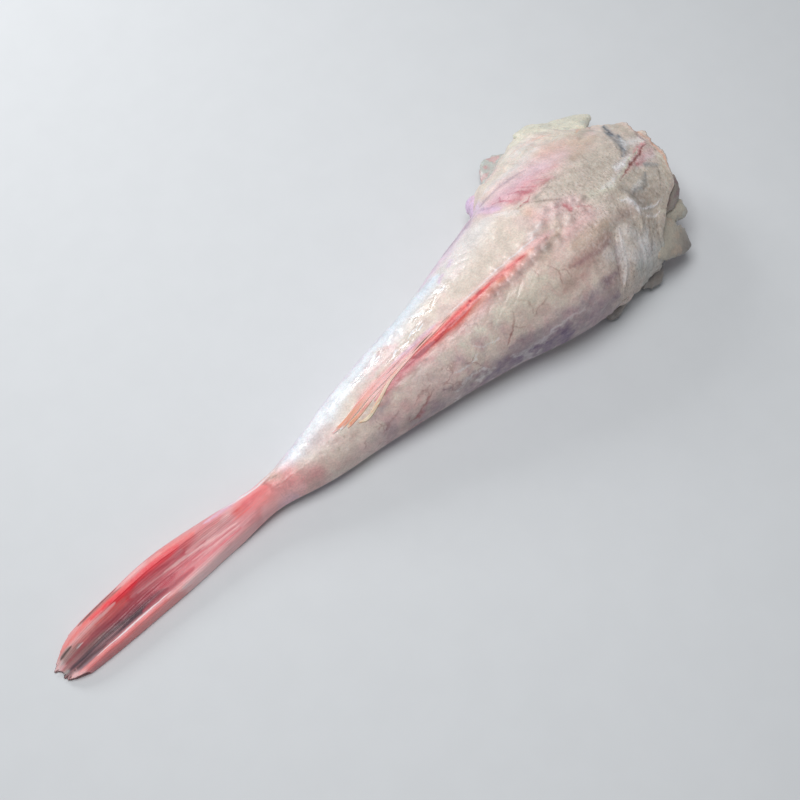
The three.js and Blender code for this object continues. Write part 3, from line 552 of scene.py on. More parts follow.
# Torn tabs round the cut end: plan outline, a root inside the flesh and a tip (x, y, z) that give the slope.
Tab = namedtuple("Tab", "outline root tip thick base end spot")
TABS = [
    Tab(
        [(223, 59), (218, 59.5), (215, 62), (213, 62.5), (211, 61), (208.5, 58), (208, 55), (205.5, 50.5),
         (212, 45), (226, 46)],
        (226, 46, 36), (208, 60, 20), 12, "blush", "lilac", "blush",
    ),
    Tab(
        [(266, 76), (263, 79), (260.5, 80.5), (259, 83), (256, 83), (253, 84.5), (250, 84.5), (244, 80),
         (239, 74), (235.5, 68.5), (244, 60), (262, 62)],
        (256, 60, 12), (249, 84, 6), 3, "sea_grey", "sea_grey", "rose",
    ),
    Tab(
        [(271, 77), (273, 79), (279, 79), (282, 80), (283.5, 80), (286.5, 77.5), (287, 74.5), (289.5, 74.5),
         (294, 70), (297.5, 70), (305, 67), (316.5, 61.5), (321.5, 55.5), (319, 52.5), (316, 51), (306, 46),
         (288, 50), (270, 62)],
        (287, 48, 30), (300, 72, 15), 11, "ivory", "ivory", "sea_grey",
    ),
    Tab(
        [(311, -20), (309, -25), (306, -29.5), (301, -33), (292, -36), (285, -35), (290, -27), (302, -17)],
        (300, -14, 42.5), (308, -27, 37.5), 3.4, "tan", "clay", "plum",
    ),
    Tab(
        [(302, -30), (305.5, -33), (305, -35.5), (305, -38), (304, -40.5), (301, -41.5), (298.5, -41.5),
         (295, -40.5), (291.5, -40.5), (284, -37), (287, -30), (295, -28)],
        (300, -24, 36), (307, -40, 26), 8, "putty", "putty", "sea_grey",
    ),
    Tab(
        [(291.5, -39), (291.5, -41), (291, -42.5), (294.5, -43.5), (294.5, -45), (296.5, -46), (295.5, -49),
         (295, -51.5), (294, -54.5), (290.5, -56), (283, -56.5), (275, -55.5), (267, -54.5), (262, -52),
         (262, -45), (270, -37), (282, -33)],
        (284, -32, 39), (297, -55, 14.5), 7, "putty", "clay", "tan",
    ),
    Tab(
        [(276, -50), (273, -51.5), (270, -55), (266.5, -57), (263.5, -57), (260.5, -56), (258, -56),
         (257, -54.5), (253.5, -53), (253, -44), (268, -42)],
        (266, -40, 16), (265, -57, 7), 10, "slate", "clay", "ash",
    ),
    Tab(
        [(240, -52), (237, -53.5), (233.5, -54), (230.5, -55), (226.5, -54.5), (223.5, -53), (222.5, -50.5),
         (223.5, -46), (230, -42), (240, -43)],
        (236, -42, 16), (229, -55, 7), 10, "clay", "clay", "ash",
    ),
]
TAB_ROWS, TAB_COLUMNS = 48, 120
TAB_FULLNESS, TAB_RAG, TAB_CLEARANCE = 0.5, 0.35, 0.3
TAB_SWELL, TAB_ROUGHNESS = 0.5, 0.15
TAB_SHARES = {"wet": 0.25, "veins": 0.0, "speckle": 0.3}

# Strips of the fin laid along the upper side: plan path; half-width, rise and opacity over the skin by share
# of the length; how far the far end stands clear; colours at the start, the end, the edges and in streaks.
Strip = namedtuple("Strip", "path half_width rise opacity lift start end edge streak")
LAID_STRIPS = [
    Strip(
        [(110, 3), (98, 3.4), (86, 3.2), (74, 2.8), (60, 1.4), (50, 0.4), (43, 0.8)],
        [(0, 0.3), (0.3, 1), (0.6, 1.2), (0.85, 1.2), (0.96, 1.1), (1, 0.8)],
        [(0, 0.2), (0.3, 0.5), (0.7, 0.6), (0.95, 0.6), (1, 0.3)],
        [(0, 0), (0.2, 0.5), (0.6, 0.7), (1, 0.9)],
        0.2, "petal", "orange", "porcelain", "salmon",
    ),
    Strip(
        [(100, 0.6), (86, 1.2), (72, 1.2), (60, 0.2), (47, -1)],
        [(0, 0.4), (0.3, 1.3), (0.7, 1.4), (0.95, 1.1), (1, 0.7)],
        [(0, 0.3), (0.3, 0.7), (0.8, 0.7), (1, 0.3)],
        [(0, 0.4), (0.3, 0.7), (1, 0.9)],
        0.3, "petal", "orange", "porcelain", "salmon",
    ),
    Strip(
        [(86, -0.8), (72, -1.2), (62, -2.4), (51, -3)],
        [(0, 0.4), (0.4, 1.1), (0.8, 1.1), (0.95, 1.0), (1, 0.6)],
        [(0, 0.3), (0.4, 0.6), (0.85, 0.6), (1, 0.3)],
        [(0, 0.5), (0.4, 0.85), (1, 0.85)],
        0.2, "petal", "orange", "bone", "salmon",
    ),
    Strip(
        [(134, 0), (120, -0.3), (106, -0.5), (94, -1), (84, -2), (76, -4.4), (69, -6.4), (62, -7.2),
         (57.5, -5.6)],
        [(0, 0.2), (0.15, 0.5), (0.5, 0.7), (0.8, 1.1), (0.95, 0.8), (1, 0.4)],
        [(0, 0.3), (0.2, 0.7), (0.6, 0.9), (0.9, 0.8), (1, 0.4)],
        [(0, 0.5), (0.3, 0.8), (1, 0.95)],
        0.4, "petal", "bone", "bone", "orange",
    ),
    # Dark strand over the slit beside the laid fin: a sheet coloured as painted shade.
    Strip(
        [(121, 0.7), (113, 0.6), (105, 0.3)],
        [(0, 0.1), (0.3, 0.25), (0.8, 0.25), (1, 0.1)],
        [(0, 0.2), (0.3, 0.4), (0.8, 0.4), (1, 0.2)],
        [(0, 0.6), (0.2, 0.9), (0.8, 0.9), (1, 0.6)],
        0, "umber", "soot", "umber", "soot",
    ),
]
STRIP_ROWS, STRIP_COLUMNS, STRIP_SINK = 150, 13, 0.8
STRIP_RIBS, STRIP_RIB_RISE = 7, 0.14
STRIP_FLATNESS, STRIP_ROUNDNESS = 2.5, 0.5

# Cut face inside the rim: (share of the rim's outline, stand before the slant), then bone (radius, stand).
FACE_STATION, FACE_HEIGHT, FACE_ROUGHNESS = 296, 21, 0.5
FACE_RINGS = [
    (0.95, -6), (0.9, -5), (0.86, -4.6), (0.78, -3.4), (0.7, -3), (0.6, -2.3), (0.5, -2), (0.42, -2.2),
]
BONE_RINGS = [(9.5, -2.6), (7.2, -3.4), (6.8, 0.6), (6.2, 1.6), (4.6, 1.3), (3, 0.6), (1.5, -0.8)]
FACE_BACK, PITH_STAND = -16, -1.6
LIP_RINGS = [(0.985, 0.7), (0.96, 0.5), (0.94, -1.5), (0.93, -5)]

# Where a finish begins and where it is in full: stations along, places across, or degrees from the top.
FLESH_RELIEF_ALONG = (-14, 8)
HOOD_RELIEF_ALONG = (196, 214)
RAY_RELIEF_ALONG = (-6, -40)
RIGHT_FLAP_ALONG, RIGHT_FLAP_ACROSS = (236, 248), (-12, -26)
LEFT_FLAP_ACROSS = (18, 26)
MUSCLE_FROM_MIDDLE = (8, 16)
HEM_ALONG, HEM_TURN = (205, 230), (40, 80)
RELIEF_TURN, TINT_TURN = (125, 95), (130, 98)
FIN_TINT_ALONG = (6, -10)
TIP_PAINTED_LIGHT_ALONG = (-134, -146)
HOOD_TINT_ALONG, HOOD_TINT_ACROSS = (204, 235), (36, 4)
SPECK_ALONG, SPECK_ACROSS = (206, 236), (34, 16)
SPECK_FROM_FIN = (-5, 15)
DRY_ALONG = (190, 225)

MUSCLE_PITCH, MUSCLE_SLANT, MUSCLE_SWAY_REACH = 12, 1.9, 2
RAY_SWAY_REACH = 0.03
STEP_REACH = 9  # how far a step's raised side runs before it is level with the skin again
STEP_ENDS = 0.15  # share of its length in which a step rises at each end
STAIN_SWAY_REACH, STREAK_SWAY_REACH, FINE_SWAY_SHARE = 1.3, 0.3, 0.4
STREAK_WAVER = 0.4
HOOD_EDGE_WAVER = 6

# Noise in shapes and colours: size of its bumps, or one size for each axis, and its seed.
Grain = namedtuple("Grain", "size seed")
BROAD_LUMPS = Grain(24, 1)
RIPPLES = Grain((12, 5, 5), 2)
RIGHT_WRINKLES = Grain((5, 18, 18), 3)
LEFT_WRINKLES = Grain((16, 3.6, 6), 4)
RIM_NIBBLES = Grain(0.09, 5)
HOOD_WRINKLES = Grain((2.2, 9, 9), 6)
MUSCLE_SWAY = Grain(18, 7)
TIP_FRAY = Grain(0.12, 8)
RAY_SWAY = Grain((30, 4, 40), 9)
MUSCLE_PATCHES = Grain(26, 10)
WET_RIPPLES = Grain((5, 2, 2), 11)
HEM_RUFFLE = Grain(9, 12)
STAIN_SWAY = Grain(8, 21)
FINE_STAIN_SWAY = Grain(2.5, 23)
RAY_STREAKS = Grain((24, 1.3, 40), 25)
BLOTCHES = Grain(16, 26)
STAIN_GRAIN = Grain(3.2, 27)
HAIRS = Grain((1.5, 6, 6), 28)
FLECKS = Grain(1.7, 29)
FLANK_PATCHES = Grain(6, 30)
FILM_PATCHES = Grain(12, 31)
SPECK_PATCHES = Grain(14, 32)
FACE_GRAIN = Grain(6, 41)
FACE_SWIRL = Grain(14, 42)
FACE_BLOTCHES = Grain(9, 43)
TAB_RAG_SIZE, TAB_SWELL_SIZE, TAB_SEED, SEEDS_PER_TAB = 2.5, 9, 50, 4
TAB_SPOT_SIZE, TAB_SPOT_SEED = 7, 90
STRIP_STREAK_SIZE, STRIP_SEED = (14, 1.1, 30), 60

# Noise in the node materials: bumps per metre, and detail.
NODE_ROUGHNESS = 0.6
MOTTLE_FROM, MOTTLE_TO = 0.3, 0.7  # noise that gives the darkest and the lightest spots
SKIN_MOTTLE = (130, 6)
SKIN_GRAIN = (900, 3)
SKIN_FILM = (200, 4)
SKIN_PORES = (700, 4)
SKIN_DIMPLES = (180, 3)
SPECK_DASHES = (1200, 2)
VEIN_GAPS = (75, 2)
FIN_STREAKS = (900, 4)
FIN_FILM = (300, 3)
FIN_RIBS = (800, 3)
FLESH_FIBRES = (420, 5)
FLESH_FILM = (260, 3)
FLESH_BUMPS = (520, 4)
FLOOR_GRAIN = (40, 2)
VEIN_BEND = (160, 3)
VEIN_BEND_REACH = 0.012
VEIN_CELLS = 85
VEIN_STRENGTH, SPECK_STRENGTH = 0.4, 0.5
SPECK_STRETCH, RAY_STRETCH = (1, 0.4, 0.4), (0.12, 1, 1)


def from_srgb(red, green, blue):
    """Linear colour from red, green and blue of 0 to 255 as seen on a screen."""
    share = np.array([red, green, blue]) / 255
    return tuple(np.where(share <= 0.04045, share / 12.92, ((share + 0.055) / 1.055) ** 2.4))


def colour_property(label, description, red, green, blue):
    """Colour setting whose default is given as seen on a screen."""
    return FloatVectorProperty(
        name=label, description=description, size=3, subtype="COLOR", min=0, max=1,
        default=from_srgb(red, green, blue),
    )


class TailSizes(bpy.types.PropertyGroup):
    """Depths of the skin's relief."""

    lump_depth: FloatProperty(
        name="Lumps", description="Depth of the broad lumps in the skin", default=0.0006, unit="LENGTH")
    ripple_depth: FloatProperty(
        name="Ripples", description="Depth of the small ripples in the skin", default=0.00018, unit="LENGTH")
    wrinkle_depth: FloatProperty(
        name="Wrinkles", description="Depth of the wrinkles near the cut end", default=0.0004, unit="LENGTH")
    muscle_depth: FloatProperty(
        name="Muscle lines", description="Depth of the slanting lines in the flanks", default=0.00016,
        unit="LENGTH")
    ray_depth: FloatProperty(
        name="Fin rays", description="Depth of the rays in the tail fin", default=0.0001, unit="LENGTH")
    rag_depth: FloatProperty(
        name="Ragged edges", description="How far torn edges are nibbled", default=0.0016, unit="LENGTH")


class TailColours(bpy.types.PropertyGroup):
    """Colours of skin, fin and flesh."""

    cream: colour_property("Cream", "Plain skin", 227, 212, 200)
    # Porcelain also paints highlights and glints on the tail fin, and painted light on its shaded right band.
    porcelain: colour_property("Porcelain", "Palest skin and membranes", 238, 236, 238)
    # Pale bluish-white skin, made lighter and cooler as painted sheen on the lit left flank.
    pale_sheen: colour_property("Pale_sheen", "Bluish white of the left flank", 224, 239, 252)
    # Painted highlight: white where the wet skin catches the light.
    glint_white: colour_property("Glint", "White shine of the wettest spots", 250, 252, 255)
    ivory: colour_property("Ivory", "Fat at the torn edges", 228, 224, 207)
    putty: colour_property("Putty", "Greyish skin of the right flap", 187, 179, 165)
    # Clay is also painted shadow beside the white rib of the right flap.
    clay: colour_property("Clay", "Dark skin under the hem", 146, 138, 132)
    # Tan is also painted shade beside the nodules by the vent.
    tan: colour_property("Tan", "Dull brownish skin", 194, 170, 150)
    ash_pink: colour_property("Ash pink", "Skin of the right flank", 204, 166, 163)
    blush: colour_property("Blush", "Pink skin", 228, 193, 195)
    # Petal also paints highlight lines on the tail fin, and painted light on its shaded right side and under
    # its tip.
    petal: colour_property("Petal", "Palest pink of the fin", 246, 194, 194)
    rose: colour_property("Rose", "Stronger pink", 216, 140, 146)
    lilac: colour_property("Lilac", "Bluish pink edges", 220, 194, 224)
    # Violet is also deepened towards the low right edge of the flank as painted shade.
    violet: colour_property("Violet", "Bruised bands", 112, 86, 120)
    # Plum is also painted shade beside the lip of the right flap.
    plum: colour_property("Plum", "Dark bruises", 128, 92, 104)
    slate: colour_property("Slate", "Blue-grey patches", 122, 130, 140)
    sea_grey: colour_property("Sea grey", "Thin film at the edge", 190, 193, 188)
    cherry: colour_property("Cherry", "Deep pink of the fin", 208, 80, 96)
    # Crimson also paints red shadow lines under the laid fin's strands.
    crimson: colour_property("Crimson", "Blood spots", 180, 32, 64)
    scarlet: colour_property("Scarlet", "Brightest red of the tail fin", 236, 40, 58)
    # Russet is also painted shade on the flank beside the right flap, and partly along the far crease.
    russet: colour_property("Russet", "Small veins", 140, 74, 72)
    # Umber is also painted shade in creases, in the gaps between nodules and in the slit beside the laid fin.
    umber: colour_property("Umber", "Creases and specks", 108, 90, 80)
    coral: colour_property("Coral", "Red of the tail fin", 238, 90, 86)
    salmon: colour_property("Salmon", "Pink of the fins", 236, 145, 141)
    orange: colour_property("Orange", "Orange fin rays", 232, 150, 108)
    mauve: colour_property("Mauve", "Dull pink of the fin", 170, 66, 80)
    ash: colour_property("Ash", "Grey trough of the fin", 66, 48, 60)
    # Soot is also painted shade in slits of the tail fin.
    soot: colour_property("Soot", "Dark edge of the fin", 44, 27, 21)
    bone: colour_property("Bone", "Cartilage and fin rays", 234, 218, 190)


class StageSettings(bpy.types.PropertyGroup):
    """Camera, floor and lights."""

    azimuth: FloatProperty(
        name="Azimuth", description="Side the camera looks from", default=np.radians(-44), subtype="ANGLE")
    elevation: FloatProperty(
        name="Elevation", description="Height the camera looks from", default=np.radians(65), subtype="ANGLE")
    view_angle: FloatProperty(
        name="View angle", description="Width of the camera's view", default=np.radians(36), subtype="ANGLE")
    distance: FloatProperty(
        name="Distance", description="Camera to the point it looks at", default=0.7386, unit="LENGTH")
    floor_colour: colour_property("Floor", "Pale floor", 214, 217, 220)
    key_power: FloatProperty(
        name="Key light", description="Large soft light on the left", default=3.4, unit="POWER")
    top_power: FloatProperty(
        name="Top light", description="Soft light overhead", default=8.0, unit="POWER")
    sky_strength: FloatProperty(
        name="Sky", description="Even light from all round", default=0.22)


def ease(value, start, end):
    """Smooth rise from 0 at start to 1 at end."""
    share = np.clip((value - start) / (end - start), 0, 1)
    return share * share * (3 - 2 * share)


def lerp(a, b, share):
    """Value on the way from a to b."""
    return a + (b - a) * share


def hermite(stations, values, slopes, at):
    """Smooth curve through values with the slopes given, level beyond the ends."""
    at = np.clip(at, stations[0], stations[-1])
    i = np.clip(np.searchsorted(stations, at, side="right") - 1, 0, len(stations) - 2)
    span = stations[i + 1] - stations[i]
    t = (at - stations[i]) / span
    bent = span * (slopes[i] * t * (1 - t) ** 2 - slopes[i + 1] * t * t * (1 - t))
    return values[i] * (1 + 2 * t) * (1 - t) ** 2 + values[i + 1] * t * t * (3 - 2 * t) + bent


def curve(profile, at):
    """Value of a profile at stations, with level ends."""
    stations, values = np.array(profile, float).T
    slopes = np.gradient(values, stations)
    slopes[[0, -1]] = 0
    return hermite(stations, values, slopes, np.asarray(at, float))


def smooth_path(points, count):
    """Many points on a smooth line through a few."""
    points = np.array(points, float)
    if len(points) == 1:
        return points
    length = np.concatenate([[0], np.cumsum(np.linalg.norm(np.diff(points, axis=0), axis=1))])
    at = np.linspace(0, length[-1], count)
    return np.stack([hermite(length, line, np.gradient(line, length), at) for line in points.T], -1)


def path_reach(plan, path):
    """Distance from plan points to a path, share of its length there, and the side: positive on the left."""
    gap = np.hypot(*(plan - path[0]).T)
    share = np.full(len(plan), 0.5 if len(path) == 1 else 0.0)
    side = np.ones(len(plan))
    for i, (start, leg) in enumerate(zip(path[:-1], np.diff(path, axis=0))):
        off = plan - start
        t = np.clip(off @ leg / (leg @ leg), 0, 1)
        reach = np.hypot(*(off - t[:, None] * leg).T)
        nearer = reach <= gap
        gap[nearer] = reach[nearer]
        share[nearer] = (i + t[nearer]) / (len(path) - 1)
        side[nearer] = np.sign(leg[0] * off[nearer, 1] - leg[1] * off[nearer, 0])
    return gap, share, side


PATH_POINTS = 14
PATH_ENDS = 0.2  # width left at the ends of a long stroke
PATH_TAPER = 0.6  # how soon a stroke comes to its full width
SHORT_STROKE, LONG_STROKE = 2, 8  # length over half-width
STROKE_MARGIN = 2.5  # half-widths beyond which a stroke has no effect


def stroke(plan, path, width, edge=SOFT):
    """How far a stroke covers each plan point, 1 on its line, thinner towards its ends."""
    line = smooth_path(path, PATH_POINTS)
    margin = width * STROKE_MARGIN
    near = ((plan > line.min(0) - margin) & (plan < line.max(0) + margin)).all(1)
    gap, share, _ = path_reach(plan[near], line)
    length = np.hypot(*np.diff(line, axis=0).T).sum()
    ends = lerp(1, PATH_ENDS, ease(length / width, SHORT_STROKE, LONG_STROKE))
    thin = lerp(ends, 1, (4 * share * (1 - share)) ** PATH_TAPER)
    cover = np.zeros(len(plan))
    cover[near] = np.exp(-((gap / (width * thin)) ** edge))
    return cover


NOISE_OCTAVES, NOISE_ROUGHNESS, NOISE_STEP = 3, 0.9, 2.0
RAG_OCTAVES = 4
SEED_STEP = np.array([17.3, 7.1, 3.7])  # how far each seed moves the noise


def noise_field(points, size, seed, octaves=NOISE_OCTAVES):
    """Smooth noise of about -1 to 1 whose bumps are about `size` across, one size or one for each axis."""
    scaled = points / np.broadcast_to(size, 3) + seed * SEED_STEP
    return np.array([noise.fractal(p, NOISE_ROUGHNESS, NOISE_STEP, octaves) for p in scaled.tolist()])


def plan_noise(points, size, seed):
    """Noise that moves points to and fro in the plan."""
    return np.stack([noise_field(points, size, seed), noise_field(points, size, seed + 1)], -1)


def section_root(value, power):
    """Sine or cosine bent for a squarer section."""
    return np.sign(value) * np.abs(value) ** (2 / power)


def fin_height(x, across):
    """Height of the folded tail fin's upper side."""
    edge = (1 - np.minimum(1, np.abs(across)) ** FIN_EDGE_FLATNESS) ** FIN_EDGE_ROUNDNESS
    rise = curve(FIN_WEB, x)
    for fold in FIN_FOLDS:
        rise = rise + curve(fold.height, x) * np.exp(-(((across - fold.across) / fold.spread) ** 2))
    return FIN_FLOOR + edge * rise


def skin_form(x, turn):
    """Points of the smooth skin at stations and turns (degrees from the top, left positive)."""
    sine, cosine = np.sin(np.radians(turn)), np.cos(np.radians(turn))
    top, under = curve(TOP_HEIGHT, x), curve(UNDERSIDE, x)
    widest = under + (top - under) * WIDEST_AT
    across = section_root(sine, ACROSS_POWER)
    left, right = curve(HEM_SHARE, turn), curve(HEM_SHARE, -turn)
    y = curve(MID_LINE, x) + curve(HALF_WIDTH, x) * across
    y += curve(LEFT_FLARE, x) * left - curve(RIGHT_FLARE, x) * right
    y -= curve(LEFT_TRIM, x) * np.maximum(across, 0)
    upper = cosine >= 0
    over = widest + (top - widest) * section_root(cosine, OVER_POWER)
    below = widest + (widest - under + FLAT_CUT) * section_root(cosine, UNDER_POWER)
    z = np.where(upper, over, below)
    z -= ease(x, HEM_DROP_FROM, HEM_DROP_TO) * widest * (HEM_DROP_LEFT * left + HEM_DROP_RIGHT * right)
    plan = np.stack([x.ravel(), y.ravel()], -1)
    for fold in BIG_FOLDS:
        gap, _, _ = path_reach(plan, np.array(fold.path, float))
        z += np.where(upper, fold.rise * np.exp(-((gap.reshape(x.shape) / fold.width) ** 2)), 0)
    fin_below = FIN_FLOOR - (FIN_FLOOR + FLAT_CUT) * np.abs(cosine) ** FIN_UNDERSIDE
    fin_z = np.where(upper, fin_height(x, across), fin_below)
    z = lerp(z, fin_z, ease(x, FIN_BLEND_FROM, FIN_BLEND_TO))
    return np.stack([x, y, np.maximum(z, 0)], -1)


def column_turns():
    """Degrees from the top of each column of the skin, from right to left over the top and back below."""
    over = np.linspace(-UPPER_HALF_TURN, UPPER_HALF_TURN, UPPER_COLUMNS, endpoint=False)
    below = np.linspace(UPPER_HALF_TURN, 360 - UPPER_HALF_TURN, LOWER_COLUMNS, endpoint=False)
    turns = np.concatenate([over, below])
    return np.where(turns > 180, turns - 360, turns)


def ragged_line(places, size, seed):
    """Noise along a line, for torn edges."""
    level = np.zeros_like(places)
    return noise_field(np.stack([places, level, level], -1), size, seed, RAG_OCTAVES)


def rim_stations(turns):
    """Station of the torn rim at each column, with nibbled edges."""
    sizes = bpy.context.scene.tail_sizes
    angle = np.radians(turns)
    waves = sum((1 + np.sin(count * angle)) / 2 for count in RIM_SCALLOP_WAVES) / len(RIM_SCALLOP_WAVES)
    around = np.stack([np.sin(angle), np.cos(angle), np.zeros_like(angle)], -1)
    rag = noise_field(around, *RIM_NIBBLES) * sizes.rag_depth / MM
    return curve(RIM_STATION, turns) - RIM_SCALLOP_DEPTH * waves + rag


def tip_stations(turns):
    """Station of the tail fin's frayed tip at each column."""
    sizes = bpy.context.scene.tail_sizes
    across = np.sin(np.radians(turns))
    return curve(TIP_STATION, across) + ragged_line(across, *TIP_FRAY) * sizes.rag_depth / MM


def grid_normals(points):
    """Outward normals of a grid of rings, columns closing on themselves."""
    along = np.gradient(points, axis=0)
    around = np.roll(points, -1, axis=1) - np.roll(points, 1, axis=1)
    normal = np.cross(along, around)
    length = np.linalg.norm(normal, axis=-1, keepdims=True)
    return normal / np.maximum(length, 1e-9)


def skin_relief(points, turn):
    """Height of the fine relief over the smooth skin, in millimetres."""
    x, y, z = points.T
    plan = points[:, :2]
    relief = overall_relief(points, turn) / MM
    for fold in FINE_FOLDS:
        relief += fold.rise * stroke(plan, fold.path, fold.width)
    for step in STEPS:
        line = smooth_path(step.path, PATH_POINTS)
        gap, share, side = path_reach(plan, line)
        edge = ease(gap * side, -step.width, step.width) * np.exp(-((gap / STEP_REACH) ** 2))
        relief += step.rise * edge * ease(share, 0, STEP_ENDS) * ease(share, 1, 1 - STEP_ENDS)
    for spot in LUMPS:
        relief += LUMP_RISE * stroke(plan, [spot], LUMP_WIDTH)
    relief += WET_RIPPLE * wet_spots(plan) * noise_field(points, *WET_RIPPLES)
    hem = ease(np.abs(turn), *HEM_TURN) * ease(x, *HEM_ALONG)
    along_hem = np.stack([x, HEM_SIDES_APART * np.sign(y), z / HEM_UPRIGHT], -1)
    relief += HEM_WAVE * hem * noise_field(along_hem, *HEM_RUFFLE)
    return relief * ease(np.abs(turn), *RELIEF_TURN)


def overall_relief(points, turn):
    """Height of the lumps, ripples, wrinkles, muscle lines and rays, in metres."""
    sizes = bpy.context.scene.tail_sizes
    x, y, _ = points.T
    hood = ease(x, *HOOD_RELIEF_ALONG)
    flesh = ease(x, *FLESH_RELIEF_ALONG)
    right_flap = ease(x, *RIGHT_FLAP_ALONG) * ease(y, *RIGHT_FLAP_ACROSS)
    left_flap = hood * ease(y, *LEFT_FLAP_ACROSS)
    relief = sizes.lump_depth * (0.6 + 0.9 * hood) * flesh * noise_field(points, *BROAD_LUMPS)
    relief += sizes.ripple_depth * flesh * noise_field(points, *RIPPLES)
    relief += sizes.wrinkle_depth * right_flap * noise_field(points, *RIGHT_WRINKLES)
    relief += sizes.wrinkle_depth * 0.8 * left_flap * noise_field(points, *LEFT_WRINKLES)
    relief += sizes.wrinkle_depth * 0.22 * hood * (1 - left_flap) * noise_field(points, *HOOD_WRINKLES)
    away = np.abs(y - curve(MID_LINE, x))
    slanted = x + MUSCLE_SLANT * away + MUSCLE_SWAY_REACH * noise_field(points, *MUSCLE_SWAY)
    muscle = np.maximum(np.cos(2 * np.pi * slanted / MUSCLE_PITCH), 0) ** 4
    patchy = ease(noise_field(points, *MUSCLE_PATCHES), 0, 0.5) * ease(away, *MUSCLE_FROM_MIDDLE)
    relief -= sizes.muscle_depth * flesh * (1 - hood) * patchy * muscle
    across = np.sin(np.radians(turn)) + RAY_SWAY_REACH * noise_field(points, *RAY_SWAY)
    rays = sum(np.sin(np.pi * count * across) for count in RAY_WAVES)
    relief += sizes.ray_depth * 0.5 * (1 - flesh) * ease(x, *RAY_RELIEF_ALONG) * rays
    return relief


def wet_spots(plan):
    """How far the wettest spots cover each plan point."""
    return np.max([stroke(plan, path, WET_WIDTH) for path in WET_SPOTS], axis=0)


def palette():
    """The colours by name, as arrays."""
    colours = bpy.context.scene.tail_colours
    return {name: np.array(getattr(colours, name)) for name in TailColours.__annotations__}


def mix_in(colour, other, share):
    """Colours with some of another colour mixed in at each point."""
    return colour + (other - colour) * np.clip(share, 0, 1)[:, None]


def add_stains(colour, points, streaks, upper):
    """Colours with the stains, painted highlights and painted shade over them, wavering with the skin."""
    paint = palette()
    sway = plan_noise(points, *STAIN_SWAY) + FINE_SWAY_SHARE * plan_noise(points, *FINE_STAIN_SWAY)
    plan = points[:, :2] + STAIN_SWAY_REACH * sway
    ray_plan = points[:, :2] + STREAK_SWAY_REACH * sway
    ray_plan[:, 1] += STREAK_WAVER * streaks
    grain = np.clip(1.2 + 0.5 * noise_field(points, *STAIN_GRAIN), 0.5, 1.6)
    ray_grain = np.clip(0.94 + 0.3 * streaks, 0.5, 1.05)
    for stain in SPECKLED:
        cover = stroke(plan, stain.path, stain.width, stain.edge)
        uneven = lerp(grain, 1, ease(stain.width, 2.5, 6))
        colour = mix_in(colour, paint[stain.colour], stain.strength * cover * uneven * upper)
    for stain in STREAKED:
        cover = stroke(ray_plan, stain.path, stain.width, stain.edge)
        colour = mix_in(colour, paint[stain.colour], stain.strength * cover * ray_grain * upper)
    return colour


def skin_tint(points, turn):
    """Colour of the skin at each point: its ground, the stains with the painted highlights and shade among
    them, and hairs and flecks over them.
    """
    paint = palette()
    x, y, _ = points.T
    side = (y - curve(MID_LINE, x)) / curve(HALF_WIDTH, x)
    upper = ease(np.abs(turn), *TINT_TURN)
    fin = ease(x, *FIN_TINT_ALONG)
    blotch = noise_field(points, *BLOTCHES)
    hood = ease(x, *HOOD_TINT_ALONG) * ease(y + HOOD_EDGE_WAVER * blotch, *HOOD_TINT_ACROSS)
    lane = np.stack([x, lerp(y, RAY_SPREAD * side, fin), np.zeros_like(x)], -1)
    streaks = noise_field(lane, *RAY_STREAKS)
    patch = noise_field(points, *FLANK_PATCHES) * ease(side, 0.3, -0.3) * (1 - fin) * (1 - hood)
    colour = np.tile(paint["cream"], (len(points), 1))
    colour = mix_in(colour, paint["ash_pink"], 0.24 * ease(side, -0.15, -0.75))
    colour = mix_in(colour, paint["blush"], 0.3 * ease(blotch, 0, 0.6))
    colour = mix_in(colour, paint["rose"], 0.16 * ease(patch, 0.05, 0.5))
    colour = mix_in(colour, paint["ivory"], 0.3 * ease(patch, -0.05, -0.5))
    colour = mix_in(colour, paint["putty"], 0.32 * hood)
    colour = mix_in(colour, paint["lilac"], 0.45 * (1 - upper) * ease(blotch, -0.4, 0.5))
    colour = mix_in(colour, paint["rose"], 0.9 * fin)
    colour = mix_in(colour, paint["cherry"], 0.3 * fin * ease(streaks, -0.1, 0.6))
    # Painted light: the shaded underside near the fin's tip is made pale.
    colour = mix_in(colour, paint["petal"], 0.7 * (1 - upper) * ease(x, *TIP_PAINTED_LIGHT_ALONG))
    colour = add_stains(colour, points, streaks, upper)
    hair, fleck = noise_field(points, *HAIRS), noise_field(points, *FLECKS)
    bare = (1 - fin) * upper
    colour = mix_in(colour, paint["umber"], 0.18 * hood * upper * ease(hair, 0.05, 0.6))
    colour = mix_in(colour, paint["umber"], lerp(0.04, 0.22, hood) * bare * ease(fleck, 0.2, 0.6))
    colour = mix_in(colour, paint["porcelain"], lerp(0.05, 0.2, hood) * bare * ease(fleck, -0.15, -0.6))
    return np.clip(colour, 0, 1)


def vein_share(points, turn):
    """How strongly fine veins show at each point."""
    share = np.zeros(len(points))
    for patch in VEIN_PATCHES:
        share = np.maximum(share, patch.strength * stroke(points[:, :2], patch.path, patch.width))
    return share * ease(np.abs(turn), *RELIEF_TURN)


def speckle_share(points, turn):
    """How strongly fine dark specks show at each point: most on the bare part of the hood."""
    x, y, _ = points.T
    patchy = np.clip(0.7 + 0.6 * noise_field(points, *SPECK_PATCHES), 0, 1)
    share = lerp(0.12, 1, ease(x, *SPECK_ALONG) * ease(y, *SPECK_ACROSS))
    return share * patchy * ease(x, *SPECK_FROM_FIN) * ease(np.abs(turn), *RELIEF_TURN)


